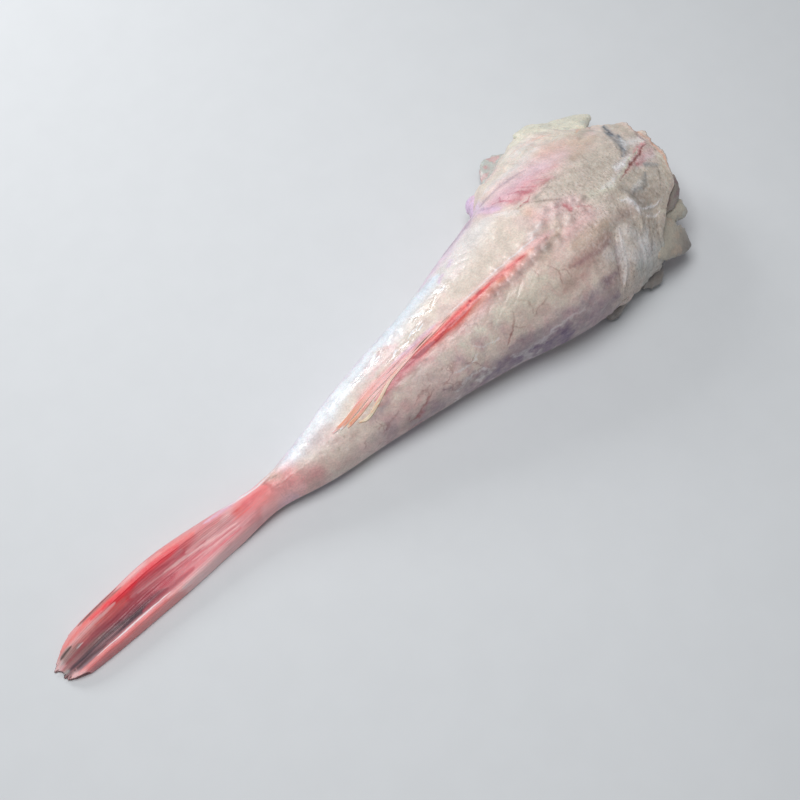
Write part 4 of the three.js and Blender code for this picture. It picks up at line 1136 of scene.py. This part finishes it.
def wet_share(points):
    """How wet each point is: most in the wet spots, less on the flanks and fin, least on the torn hood."""
    film = np.clip(0.85 + 0.4 * noise_field(points, *FILM_PATCHES), 0, 1)
    base = lerp(0.5, 0.2, ease(points[:, 0], *DRY_ALONG)) * film
    return np.maximum(base, wet_spots(points[:, :2]))


def to_frame(points):
    """Millimetres in the tail's plan to metres in the solid's frame."""
    return WAIST + np.asarray(points) * MM


def loft(name, rings, start_pole, end_pole, material, normals=None):
    """Closed mesh object through rings of points, drawn in to a pole at each end.

    A normal of 0 is left free.
    """
    count, columns = rings.shape[:2]
    index = np.arange(count * columns).reshape(count, columns)
    after = np.roll(index, -1, axis=1)
    quads = np.stack([index[:-1], index[1:], after[1:], after[:-1]], -1).reshape(-1, 4)
    start, end = count * columns, count * columns + 1
    fans = [(start, int(a), int(b)) for a, b in zip(index[0], after[0])]
    fans += [(end, int(b), int(a)) for a, b in zip(index[-1], after[-1])]
    vertices = to_frame(np.concatenate([rings.reshape(-1, 3), [start_pole, end_pole]]))
    mesh = bpy.data.meshes.new(name)
    mesh.from_pydata(vertices.tolist(), [], quads.tolist() + fans)
    face_outwards(mesh)
    mesh.shade_smooth()
    if normals is not None:
        by_vertex = np.concatenate([normals.reshape(-1, 3), np.zeros((2, 3))])
        mesh.normals_split_custom_set_from_vertices(by_vertex.tolist())
    mesh.materials.append(material)
    piece = bpy.data.objects.new(name, mesh)
    bpy.context.collection.objects.link(piece)
    return piece


def face_outwards(mesh):
    """Turns the faces of a closed mesh to the outside."""
    shell = bmesh.new()
    shell.from_mesh(mesh)
    if shell.calc_volume(signed=True) < 0:
        bmesh.ops.reverse_faces(shell, faces=shell.faces)
    shell.to_mesh(mesh)
    shell.free()


def set_tint(piece, colour):
    """Gives each vertex of a piece its colour."""
    layer = piece.data.attributes.new("tint", "FLOAT_COLOR", "POINT")
    layer.data.foreach_set("color", np.column_stack([colour, np.ones(len(colour))]).ravel())


def set_share(piece, name, values):
    """Gives each vertex of a piece one number."""
    layer = piece.data.attributes.new(name, "FLOAT", "POINT")
    layer.data.foreach_set("value", values)


def join_pieces(name, pieces):
    """Joins pieces of one kind into one object."""
    with bpy.context.temp_override(active_object=pieces[0], selected_editable_objects=pieces):
        bpy.ops.object.join()
    pieces[0].name = name
    pieces[0].data.name = name
    return pieces[0]


def settle(piece):
    """Fixes a piece to the tail's body and hides the plain solid it is built over."""
    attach(piece, BODY)
    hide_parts(SOLID)


class SkinHeights:
    """Heights of the finished skin straight above plan points."""

    ABOVE = 0.2

    def __init__(self, skin):
        self.tree = BVHTree.FromObject(skin, bpy.context.evaluated_depsgraph_get())

    def at(self, plan):
        """Heights over the table, in millimetres; 0 beside the skin."""
        found = []
        for x, y in to_frame(np.column_stack([plan, np.zeros(len(plan))]))[:, :2]:
            place = self.tree.ray_cast(Vector((x, y, self.ABOVE)), Vector((0, 0, -1)))[0]
            found.append(0 if place is None else (place.z - WAIST[2]) / MM)
        return np.array(found)


def set_inputs(tree, node, inputs):
    """Gives a node its inputs, each a value or another node's output."""
    for socket, value in inputs.items():
        if isinstance(value, bpy.types.NodeSocket):
            tree.links.new(value, node.inputs[socket])
        else:
            node.inputs[socket].default_value = value


def add_node(tree, kind, inputs, **settings):
    """New shader node with its settings and inputs."""
    node = tree.nodes.new(kind)
    for name, value in settings.items():
        setattr(node, name, value)
    set_inputs(tree, node, inputs)
    return node


def add_attribute(tree, name, socket="Fac"):
    """Number or colour that each vertex holds under a name."""
    return add_node(tree, "ShaderNodeAttribute", {}, attribute_name=name).outputs[socket]


def add_math(tree, operation, first, second):
    """Two values multiplied or added."""
    return add_node(tree, "ShaderNodeMath", {0: first, 1: second}, operation=operation).outputs[0]


def add_mix(tree, share, first, second, blend="MIX"):
    """Colour mixed from two others."""
    inputs = {0: share, 6: first, 7: second}
    return add_node(tree, "ShaderNodeMix", inputs, data_type="RGBA", blend_type=blend).outputs[2]


def add_noise(tree, where, scale, detail):
    """Noise texture in object space, scale in bumps per metre."""
    inputs = {"Vector": where, "Scale": scale, "Detail": detail, "Roughness": NODE_ROUGHNESS}
    return add_node(tree, "ShaderNodeTexNoise", inputs).outputs["Fac"]


def add_range(tree, value, low, high, to_low, to_high):
    """Value moved smoothly from one range to another."""
    inputs = {"Value": value, "From Min": low, "From Max": high, "To Min": to_low, "To Max": to_high}
    return add_node(tree, "ShaderNodeMapRange", inputs, interpolation_type="SMOOTHSTEP").outputs["Result"]


def add_mottle(tree, colour, spots, dark, light):
    """Colour made darker and lighter in spots."""
    shade = add_range(tree, spots, MOTTLE_FROM, MOTTLE_TO, dark, light)
    return add_mix(tree, 1.0, colour, shade, "MULTIPLY")


def add_bump(tree, height, strength, distance, under=None):
    """Normal of a bumpy surface, over the bumps of another if given."""
    inputs = {"Height": height, "Strength": strength, "Distance": distance}
    if under is not None:
        inputs["Normal"] = under
    return add_node(tree, "ShaderNodeBump", inputs).outputs["Normal"]


def stretch(tree, where, scale):
    """Coordinates that draw a texture out along an axis."""
    return add_node(tree, "ShaderNodeMapping", {"Vector": where, "Scale": scale}).outputs["Vector"]


def new_material(name):
    """Empty node material: its tree, object coordinates and shader."""
    material = bpy.data.materials.new(name)
    material.use_nodes = True
    tree = material.node_tree
    tree.nodes.clear()
    shader = add_node(tree, "ShaderNodeBsdfPrincipled", {})
    add_node(tree, "ShaderNodeOutputMaterial", {"Surface": shader.outputs["BSDF"]})
    where = add_node(tree, "ShaderNodeTexCoord", {}).outputs["Object"]
    return material, tree, where, shader


def add_veins(tree, where):
    """Share of the vein colour: broken threads between bent cells."""
    scale, detail = VEIN_BEND
    inputs = {"Vector": where, "Scale": scale, "Detail": detail}
    bend = add_node(tree, "ShaderNodeTexNoise", inputs).outputs["Color"]
    inputs = {0: bend, 1: (VEIN_BEND_REACH,) * 3, 2: where}
    bent = add_node(tree, "ShaderNodeVectorMath", inputs, operation="MULTIPLY_ADD").outputs["Vector"]
    inputs = {"Vector": bent, "Scale": VEIN_CELLS}
    cells = add_node(tree, "ShaderNodeTexVoronoi", inputs, feature="DISTANCE_TO_EDGE")
    thread = add_range(tree, cells.outputs["Distance"], 0.015, 0.06, 1, 0)
    gaps = add_range(tree, add_noise(tree, where, *VEIN_GAPS), 0.48, 0.62, 0, 1)
    shown = add_math(tree, "MULTIPLY", thread, gaps)
    shown = add_math(tree, "MULTIPLY", shown, add_attribute(tree, "veins"))
    return add_math(tree, "MULTIPLY", shown, VEIN_STRENGTH)


def add_specks(tree, where):
    """Share of the speck colour: short fine dashes."""
    dashes = add_noise(tree, stretch(tree, where, SPECK_STRETCH), *SPECK_DASHES)
    specks = add_range(tree, dashes, 0.56, 0.7, 0, SPECK_STRENGTH)
    return add_math(tree, "MULTIPLY", specks, add_attribute(tree, "speckle"))


def skin_material(name):
    """Wet skin: its painted colours, mottled, with fine veins and specks under a glossy film."""
    material, tree, where, shader = new_material(name)
    paint = palette()
    colour = add_attribute(tree, "tint", "Color")
    colour = add_mottle(tree, colour, add_noise(tree, where, *SKIN_MOTTLE), 0.88, 1.07)
    colour = add_mottle(tree, colour, add_noise(tree, where, *SKIN_GRAIN), 0.88, 1.07)
    colour = add_mix(tree, add_veins(tree, where), colour, (*paint["russet"], 1))
    colour = add_mix(tree, add_specks(tree, where), colour, (*paint["umber"], 1))
    film = add_range(tree, add_noise(tree, where, *SKIN_FILM), 0.35, 0.7, -0.04, 0.1)
    inputs = {"Value": add_attribute(tree, "wet"), "To Min": 0.6, "To Max": 0.06}
    dull = add_node(tree, "ShaderNodeMapRange", inputs).outputs["Result"]
    pores = add_bump(tree, add_noise(tree, where, *SKIN_PORES), 0.15, 0.0006)
    dimples = add_bump(tree, add_noise(tree, where, *SKIN_DIMPLES), 0.15, 0.0016, pores)
    set_inputs(tree, shader, {
        "Base Color": colour, "Roughness": add_math(tree, "ADD", film, dull), "Normal": dimples,
        "Subsurface Weight": 0.12, "Subsurface Radius": (1.0, 0.45, 0.35), "Subsurface Scale": 0.001,
        "Coat Weight": 0.15, "Coat Roughness": 0.1,
    })
    return material


def fin_material(name):
    """Wet fin strands: painted colours with fine lengthwise streaks."""
    material, tree, where, shader = new_material(name)
    lengthwise = stretch(tree, where, RAY_STRETCH)
    tint = add_attribute(tree, "tint", "Color")
    set_inputs(tree, shader, {
        "Base Color": add_mottle(tree, tint, add_noise(tree, lengthwise, *FIN_STREAKS), 0.92, 1.05),
        "Roughness": add_range(tree, add_noise(tree, where, *FIN_FILM), 0.35, 0.7, 0.42, 0.58),
        "Normal": add_bump(tree, add_noise(tree, lengthwise, *FIN_RIBS), 0.18, 0.0005),
        "Subsurface Weight": 0.15, "Subsurface Radius": (1.0, 0.4, 0.3), "Subsurface Scale": 0.001,
        "Coat Weight": 0.06, "Coat Roughness": 0.12,
    })
    return material


def flesh_material():
    """Cut flesh: painted colours with the grain of the muscle."""
    material, tree, where, shader = new_material("cut_flesh")
    tint = add_attribute(tree, "tint", "Color")
    set_inputs(tree, shader, {
        "Base Color": add_mottle(tree, tint, add_noise(tree, where, *FLESH_FIBRES), 0.86, 1.08),
        "Roughness": add_range(tree, add_noise(tree, where, *FLESH_FILM), 0.3, 0.7, 0.3, 0.55),
        "Normal": add_bump(tree, add_noise(tree, where, *FLESH_BUMPS), 0.4, 0.0008),
        "Subsurface Weight": 0.3, "Subsurface Radius": (1.0, 0.5, 0.4), "Subsurface Scale": 0.004,
    })
    return material


def floor_material(colour):
    """Plain pale floor with a very faint grain."""
    material, tree, where, shader = new_material("pale_floor")
    grain = add_noise(tree, where, *FLOOR_GRAIN)
    set_inputs(tree, shader, {
        "Base Color": add_mottle(tree, (*colour, 1), grain, 0.985, 1.0), "Roughness": 0.8,
    })
    return material


def skin_points(part):
    """Points of a part's rows, and normals for its first and last row, so that the next runs on smoothly."""
    turns = column_turns()
    step = (part.end - part.start) / part.rows
    before, after = int(part.start > -FIN_LENGTH), int(part.end < FLESH_LENGTH)
    stations = part.start + step * np.arange(-before, part.rows + 1 + after)
    x = stations[:, None] + np.zeros_like(turns)
    x = x + (tip_stations(turns) + FIN_LENGTH) * ease(x, TIP_EVEN_FROM, -FIN_LENGTH)
    x = x + (rim_stations(turns) - FLESH_LENGTH) * ease(x, RIM_EVEN_TO, FLESH_LENGTH)
    turn = np.broadcast_to(turns, x.shape)
    points = skin_form(x, turn)
    relief = skin_relief(points.reshape(-1, 3), turn.ravel()).reshape(x.shape)
    points = points + grid_normals(points) * relief[..., None]
    points[..., 2] = np.maximum(points[..., 2], 0)
    kept = slice(before, len(stations) - after)
    rows = np.arange(part.rows + 1)
    seam = (rows == 0) & (before > 0) | (rows == part.rows) & (after > 0)
    return points[kept], grid_normals(points)[kept] * seam[:, None, None]


def add_lips(rings, normals, heart):
    """Adds the rings that turn the skin's rim inwards over the cut face."""
    rim = rings[-1]
    lips = []
    for share, stand in LIP_RINGS:
        lip = lerp(heart, rim, share)
        lip[:, 0] = rim[:, 0] + stand
        lips.append(lip)
    return np.concatenate([rings, lips]), np.concatenate([normals, np.zeros_like(lips)])


def skin_piece(part, rings, normals, poles, material):
    """One part of the skin with its colours."""
    piece = loft(part.name, rings, *poles, material, normals)
    points = np.concatenate([rings.reshape(-1, 3), poles])
    turn = np.concatenate([np.tile(column_turns(), len(rings)), [0, 0]])
    set_tint(piece, skin_tint(points, turn))
    set_share(piece, "wet", wet_share(points))
    set_share(piece, "veins", vein_share(points, turn))
    set_share(piece, "speckle", speckle_share(points, turn))
    settle(piece)


def face_heart():
    """Middle of the cut face."""
    return np.array([FACE_STATION, float(curve(MID_LINE, FACE_STATION)), FACE_HEIGHT])


def forward(distance):
    """Step towards the cut end."""
    return np.array([distance, 0, 0])


class MONKFISH_OT_tail_fin(bpy.types.Operator):
    """Builds the folded tail fin"""

    bl_idname = "monkfish.tail_fin"
    bl_label = "Tail fin"

    def execute(self, context):
        rings, normals = skin_points(TAIL_FIN)
        hollow = rings[0].mean(0) + forward(TIP_HOLLOW)
        skin_piece(TAIL_FIN, rings, normals, (hollow, rings[-1].mean(0)), fin_material("wet_fin"))
        return {"FINISHED"}


class MONKFISH_OT_flank(bpy.types.Operator):
    """Builds the skin of the tapering flesh"""

    bl_idname = "monkfish.flank"
    bl_label = "Flank skin"

    def execute(self, context):
        rings, normals = skin_points(FLANK)
        skin_piece(FLANK, rings, normals, (rings[0].mean(0), rings[-1].mean(0)), skin_material("wet_skin"))
        return {"FINISHED"}


class MONKFISH_OT_hood(bpy.types.Operator):
    """Builds the creased skin with its flaps beside the cut end"""

    bl_idname = "monkfish.hood"
    bl_label = "Hood skin"

    def execute(self, context):
        heart = face_heart()
        rings, normals = add_lips(*skin_points(HOOD), heart)
        recess = heart + forward(FACE_BACK / 2)
        skin_piece(HOOD, rings, normals, (rings[0].mean(0), recess), skin_material("creased_skin"))
        return {"FINISHED"}


def face_rings(heart):
    """Rings of the cut face from the rim inwards, then over the end of the backbone."""
    turns = column_turns()
    angle = np.radians(turns)
    rim = skin_form(curve(RIM_STATION, turns), turns)
    outwards = np.stack([np.zeros_like(angle), np.sin(angle), np.cos(angle)], -1)
    rings = [lerp(heart + forward(stand), rim, share) for share, stand in FACE_RINGS]
    rings += [heart + forward(stand) + outwards * radius for radius, stand in BONE_RINGS]
    rings = np.array(rings)
    grain = noise_field(rings.reshape(-1, 3), *FACE_GRAIN).reshape(rings.shape[:2])
    rings[1:, :, 0] += FACE_ROUGHNESS * grain[1:]
    return rings


def face_tint(points, heart):
    """Colour of the cut face at each point: pale swirls in pink flesh, bone and pith in the middle."""
    paint = palette()
    sideways, upwards = points[:, 1] - heart[1], points[:, 2] - heart[2]
    reach = np.hypot(sideways, upwards)
    around = np.arctan2(sideways, upwards)
    swirl = np.sin(5 * around + 0.16 * reach + 1.5 * noise_field(points, *FACE_SWIRL))
    colour = np.tile(paint["blush"], (len(points), 1))
    colour = mix_in(colour, paint["porcelain"], 0.6 * np.abs(swirl) ** 6)
    colour = mix_in(colour, paint["rose"], 0.5 * ease(noise_field(points, *FACE_BLOTCHES), 0, 0.7))
    colour = mix_in(colour, paint["crimson"], 0.55 * ease(reach, 13, 9))
    colour = mix_in(colour, paint["bone"], ease(reach, 7.8, 7))
    return mix_in(colour, paint["russet"], 0.7 * ease(reach, 3.4, 2))


class MONKFISH_OT_cut_flesh(bpy.types.Operator):
    """Builds the cut face with the end of the backbone"""

    bl_idname = "monkfish.cut_flesh"
    bl_label = "Cut flesh"

    def execute(self, context):
        heart = face_heart()
        rings = face_rings(heart)
        poles = heart + forward(FACE_BACK), heart + forward(PITH_STAND)
        face = loft("cut_flesh", rings, *poles, flesh_material())
        set_tint(face, face_tint(np.concatenate([rings.reshape(-1, 3), poles]), heart))
        settle(face)
        return {"FINISHED"}


def tab_rings(tab, seed):
    """Rings of one torn tab: a pillow over its ragged outline, sloping from its root to its tip."""
    corners = np.array(tab.outline + tab.outline[:1], float)
    length = np.concatenate([[0], np.cumsum(np.hypot(*np.diff(corners, axis=0).T))])
    at = np.linspace(0, length[-1], TAB_COLUMNS, endpoint=False)
    outline = np.stack([np.interp(at, length, line) for line in corners.T], -1)
    level = np.column_stack([outline, np.zeros(TAB_COLUMNS)])
    outline += TAB_RAG * plan_noise(level, TAB_RAG_SIZE, seed)
    middle = outline.mean(0)
    root, tip = np.array(tab.root, float), np.array(tab.tip, float)
    run = tip[:2] - root[:2]
    rings = []
    for angle in np.linspace(0, np.pi, TAB_ROWS + 2)[1:-1]:
        plan = lerp(middle, outline, np.sin(angle) ** TAB_FULLNESS)
        share = (plan - root[:2]) @ run / (run @ run)
        height = lerp(root[2], tip[2], share) + tab.thick / 2 * np.cos(angle)
        rings.append(np.column_stack([plan, height]))
    rings = np.array(rings)
    points = rings.reshape(-1, 3)
    swell = TAB_SWELL * noise_field(points, TAB_SWELL_SIZE, seed + 2)
    swell += TAB_ROUGHNESS * noise_field(points, TAB_RAG_SIZE, seed + 3)
    rings[..., 2] = np.maximum(rings[..., 2] + swell.reshape(rings.shape[:2]), TAB_CLEARANCE)
    return rings


def tab_piece(tab, number, material):
    """One torn tab with its colours."""
    paint = palette()
    rings = tab_rings(tab, TAB_SEED + SEEDS_PER_TAB * number)
    poles = rings[0].mean(0), rings[-1].mean(0)
    piece = loft(f"torn_tab_{number}", rings, *poles, material)
    points = np.concatenate([rings.reshape(-1, 3), poles])
    run = np.subtract(tab.tip, tab.root)[:2]
    along = (points[:, :2] - tab.root[:2]) @ run / (run @ run)
    colour = np.tile(paint[tab.base], (len(points), 1))
    colour = mix_in(colour, paint[tab.end], ease(along, 0.3, 0.9))
    spots = ease(noise_field(points, TAB_SPOT_SIZE, TAB_SPOT_SEED + number), 0.05, 0.5)
    set_tint(piece, mix_in(colour, paint[tab.spot], 0.45 * spots))
    for name, share in TAB_SHARES.items():
        set_share(piece, name, np.full(len(points), share))
    return piece


class MONKFISH_OT_torn_tabs(bpy.types.Operator):
    """Builds the torn tabs of skin and fat round the cut end"""

    bl_idname = "monkfish.torn_tabs"
    bl_label = "Torn tabs"

    def execute(self, context):
        material = skin_material("torn_skin")
        tabs = [tab_piece(tab, number, material) for number, tab in enumerate(TABS)]
        settle(join_pieces("torn_tabs", tabs))
        return {"FINISHED"}


def strip_rings(strip, heights, share, across):
    """Rings of one strand of the laid fin, draped over the skin along its path."""
    line = smooth_path(strip.path, STRIP_ROWS)
    heading = np.gradient(line, axis=0)
    heading /= np.linalg.norm(heading, axis=1, keepdims=True)
    sideways = np.stack([-heading[:, 1], heading[:, 0]], -1)
    reach = curve(strip.half_width, share)[:, None] * across
    plan = line[:, None] + sideways[:, None] * reach[..., None]
    base = heights.at(plan.reshape(-1, 2)).reshape(plan.shape[:2])
    base = base + strip.lift * ease(share, 0.5, 1)[:, None]
    crown = curve(strip.rise, share)[:, None] * (1 - np.abs(across) ** STRIP_FLATNESS) ** STRIP_ROUNDNESS
    ribs = STRIP_RIB_RISE * np.sin(STRIP_RIBS * np.pi * across)
    top = np.concatenate([plan, (base + crown + ribs)[..., None]], -1)
    under = np.concatenate([plan, (base - STRIP_SINK)[..., None]], -1)[:, ::-1]
    return np.concatenate([top, under], 1)


def strip_piece(strip, heights, number, material):
    """One strand of the laid fin with its colours, letting the skin's colour through where it is thin."""
    paint = palette()
    share = np.linspace(0, 1, STRIP_ROWS)
    across = np.linspace(-1, 1, STRIP_COLUMNS)
    rings = strip_rings(strip, heights, share, across)
    poles = rings[0].mean(0), rings[-1].mean(0)
    piece = loft(f"laid_strip_{number}", rings, *poles, material)
    points = np.concatenate([rings.reshape(-1, 3), poles])
    along = np.concatenate([np.repeat(share, rings.shape[1]), [0, 1]])
    over = np.concatenate([np.tile(np.concatenate([across, across[::-1]]), STRIP_ROWS), [0, 0]])
    rims = np.maximum(ease(np.abs(over), 0.5, 1), ease(along, 0.92, 0.98))
    streak = ease(noise_field(points, STRIP_STREAK_SIZE, STRIP_SEED + number), 0.05, 0.45)
    colour = np.tile(paint[strip.start], (len(points), 1))
    colour = mix_in(colour, paint[strip.end], ease(along, 0.3, 0.9))
    colour = mix_in(colour, paint[strip.edge], 0.8 * rims)
    colour = mix_in(colour, paint[strip.streak], 0.55 * streak)
    skin = skin_tint(points, np.zeros(len(points)))
    set_tint(piece, lerp(skin, colour, curve(strip.opacity, along)[:, None]))
    return piece


class MONKFISH_OT_laid_fin(bpy.types.Operator):
    """Builds the fin laid along the upper side, strand by strand"""

    bl_idname = "monkfish.laid_fin"
    bl_label = "Laid fin"

    def execute(self, context):
        heights = SkinHeights(bpy.data.objects[FLANK.name])
        material = fin_material("wet_fin_rays")
        strips = [strip_piece(strip, heights, number, material) for number, strip in enumerate(LAID_STRIPS)]
        settle(join_pieces("laid_fin", strips))
        return {"FINISHED"}


# The stage: the camera looks at the middle of the tail, and soft lights stand on its left and above.
AIM_STATION = 95
AIM = (WAIST + forward(AIM_STATION) * MM).tolist()
SENSOR = 36.0
FLOOR_SIZE = 6.0
KEY_DIRECTION, KEY_DISTANCE, KEY_SIZE = (0, 0.86, 0.5), 1.0, 0.36
TOP_DIRECTION, TOP_DISTANCE, TOP_SIZE = (-0.1, 0.08, 1.0), 1.1, 0.6
SKY_COLOUR = (0.95, 0.97, 1.0, 1)


def add_soft_light(name, power, direction, distance, size):
    """Square soft light that shines on the middle of the tail."""
    light = bpy.data.lights.new(name, "AREA")
    light.energy = power
    light.size = size
    lamp = bpy.data.objects.new(name, light)
    away = Vector(direction).normalized()
    lamp.location = Vector(AIM) + away * distance
    lamp.rotation_euler = away.to_track_quat("Z", "Y").to_euler()
    bpy.context.collection.objects.link(lamp)


class MONKFISH_OT_stage(bpy.types.Operator):
    """Adds the floor, the soft lights and the camera"""

    bl_idname = "monkfish.stage"
    bl_label = "Stage"

    def execute(self, context):
        stage = context.scene.tail_stage
        bpy.ops.mesh.primitive_plane_add(size=FLOOR_SIZE, location=(0, 0, SOLID_LOW.z))
        floor = context.object
        floor.name = "floor"
        floor.data.materials.append(floor_material(stage.floor_colour))
        add_soft_light("key_light", stage.key_power, KEY_DIRECTION, KEY_DISTANCE, KEY_SIZE)
        add_soft_light("top_light", stage.top_power, TOP_DIRECTION, TOP_DISTANCE, TOP_SIZE)
        world = bpy.data.worlds.new("studio")
        world.use_nodes = True
        background = world.node_tree.nodes["Background"]
        background.inputs["Color"].default_value = SKY_COLOUR
        background.inputs["Strength"].default_value = stage.sky_strength
        context.scene.world = world
        context.scene.view_settings.view_transform = "Standard"
        lens = bpy.data.cameras.new("camera")
        lens.sensor_width = SENSOR
        lens.angle = stage.view_angle
        camera = bpy.data.objects.new("camera", lens)
        level = np.cos(stage.elevation)
        rise = np.sin(stage.elevation)
        back = Vector((np.sin(stage.azimuth) * level, -np.cos(stage.azimuth) * level, rise))
        camera.location = Vector(AIM) + back * stage.distance
        camera.rotation_euler = back.to_track_quat("Z", "Y").to_euler()
        context.collection.objects.link(camera)
        context.scene.camera = camera
        return {"FINISHED"}


OPERATORS = (
    MONKFISH_OT_tail_fin,
    MONKFISH_OT_flank,
    MONKFISH_OT_hood,
    MONKFISH_OT_cut_flesh,
    MONKFISH_OT_torn_tabs,
    MONKFISH_OT_laid_fin,
    MONKFISH_OT_stage,
)


class MONKFISH_PT_panel(bpy.types.Panel):
    """Lists the pieces of the tail"""

    bl_idname = "MONKFISH_PT_panel"
    bl_label = "Frozen Monkfish Tail"
    bl_space_type = "VIEW_3D"
    bl_region_type = "UI"
    bl_category = "Monkfish"

    def draw(self, context):
        for operator in OPERATORS:
            self.layout.operator(operator.bl_idname)


CLASSES = (TailSizes, TailColours, StageSettings, *OPERATORS, MONKFISH_PT_panel)


def register():
    for item in CLASSES:
        bpy.utils.register_class(item)
    bpy.types.Scene.tail_sizes = PointerProperty(type=TailSizes)
    bpy.types.Scene.tail_colours = PointerProperty(type=TailColours)
    bpy.types.Scene.tail_stage = PointerProperty(type=StageSettings)


def unregister():
    del bpy.types.Scene.tail_stage
    del bpy.types.Scene.tail_colours
    del bpy.types.Scene.tail_sizes
    for item in reversed(CLASSES):
        bpy.utils.unregister_class(item)


def main():
    """Builds the tail piece by piece."""
    register()
    bpy.ops.monkfish.tail_fin()
    bpy.ops.monkfish.flank()
    bpy.ops.monkfish.hood()
    bpy.ops.monkfish.cut_flesh()
    bpy.ops.monkfish.torn_tabs()
    bpy.ops.monkfish.laid_fin()
    bpy.ops.monkfish.stage()


if __name__ == "__main__":
    main()
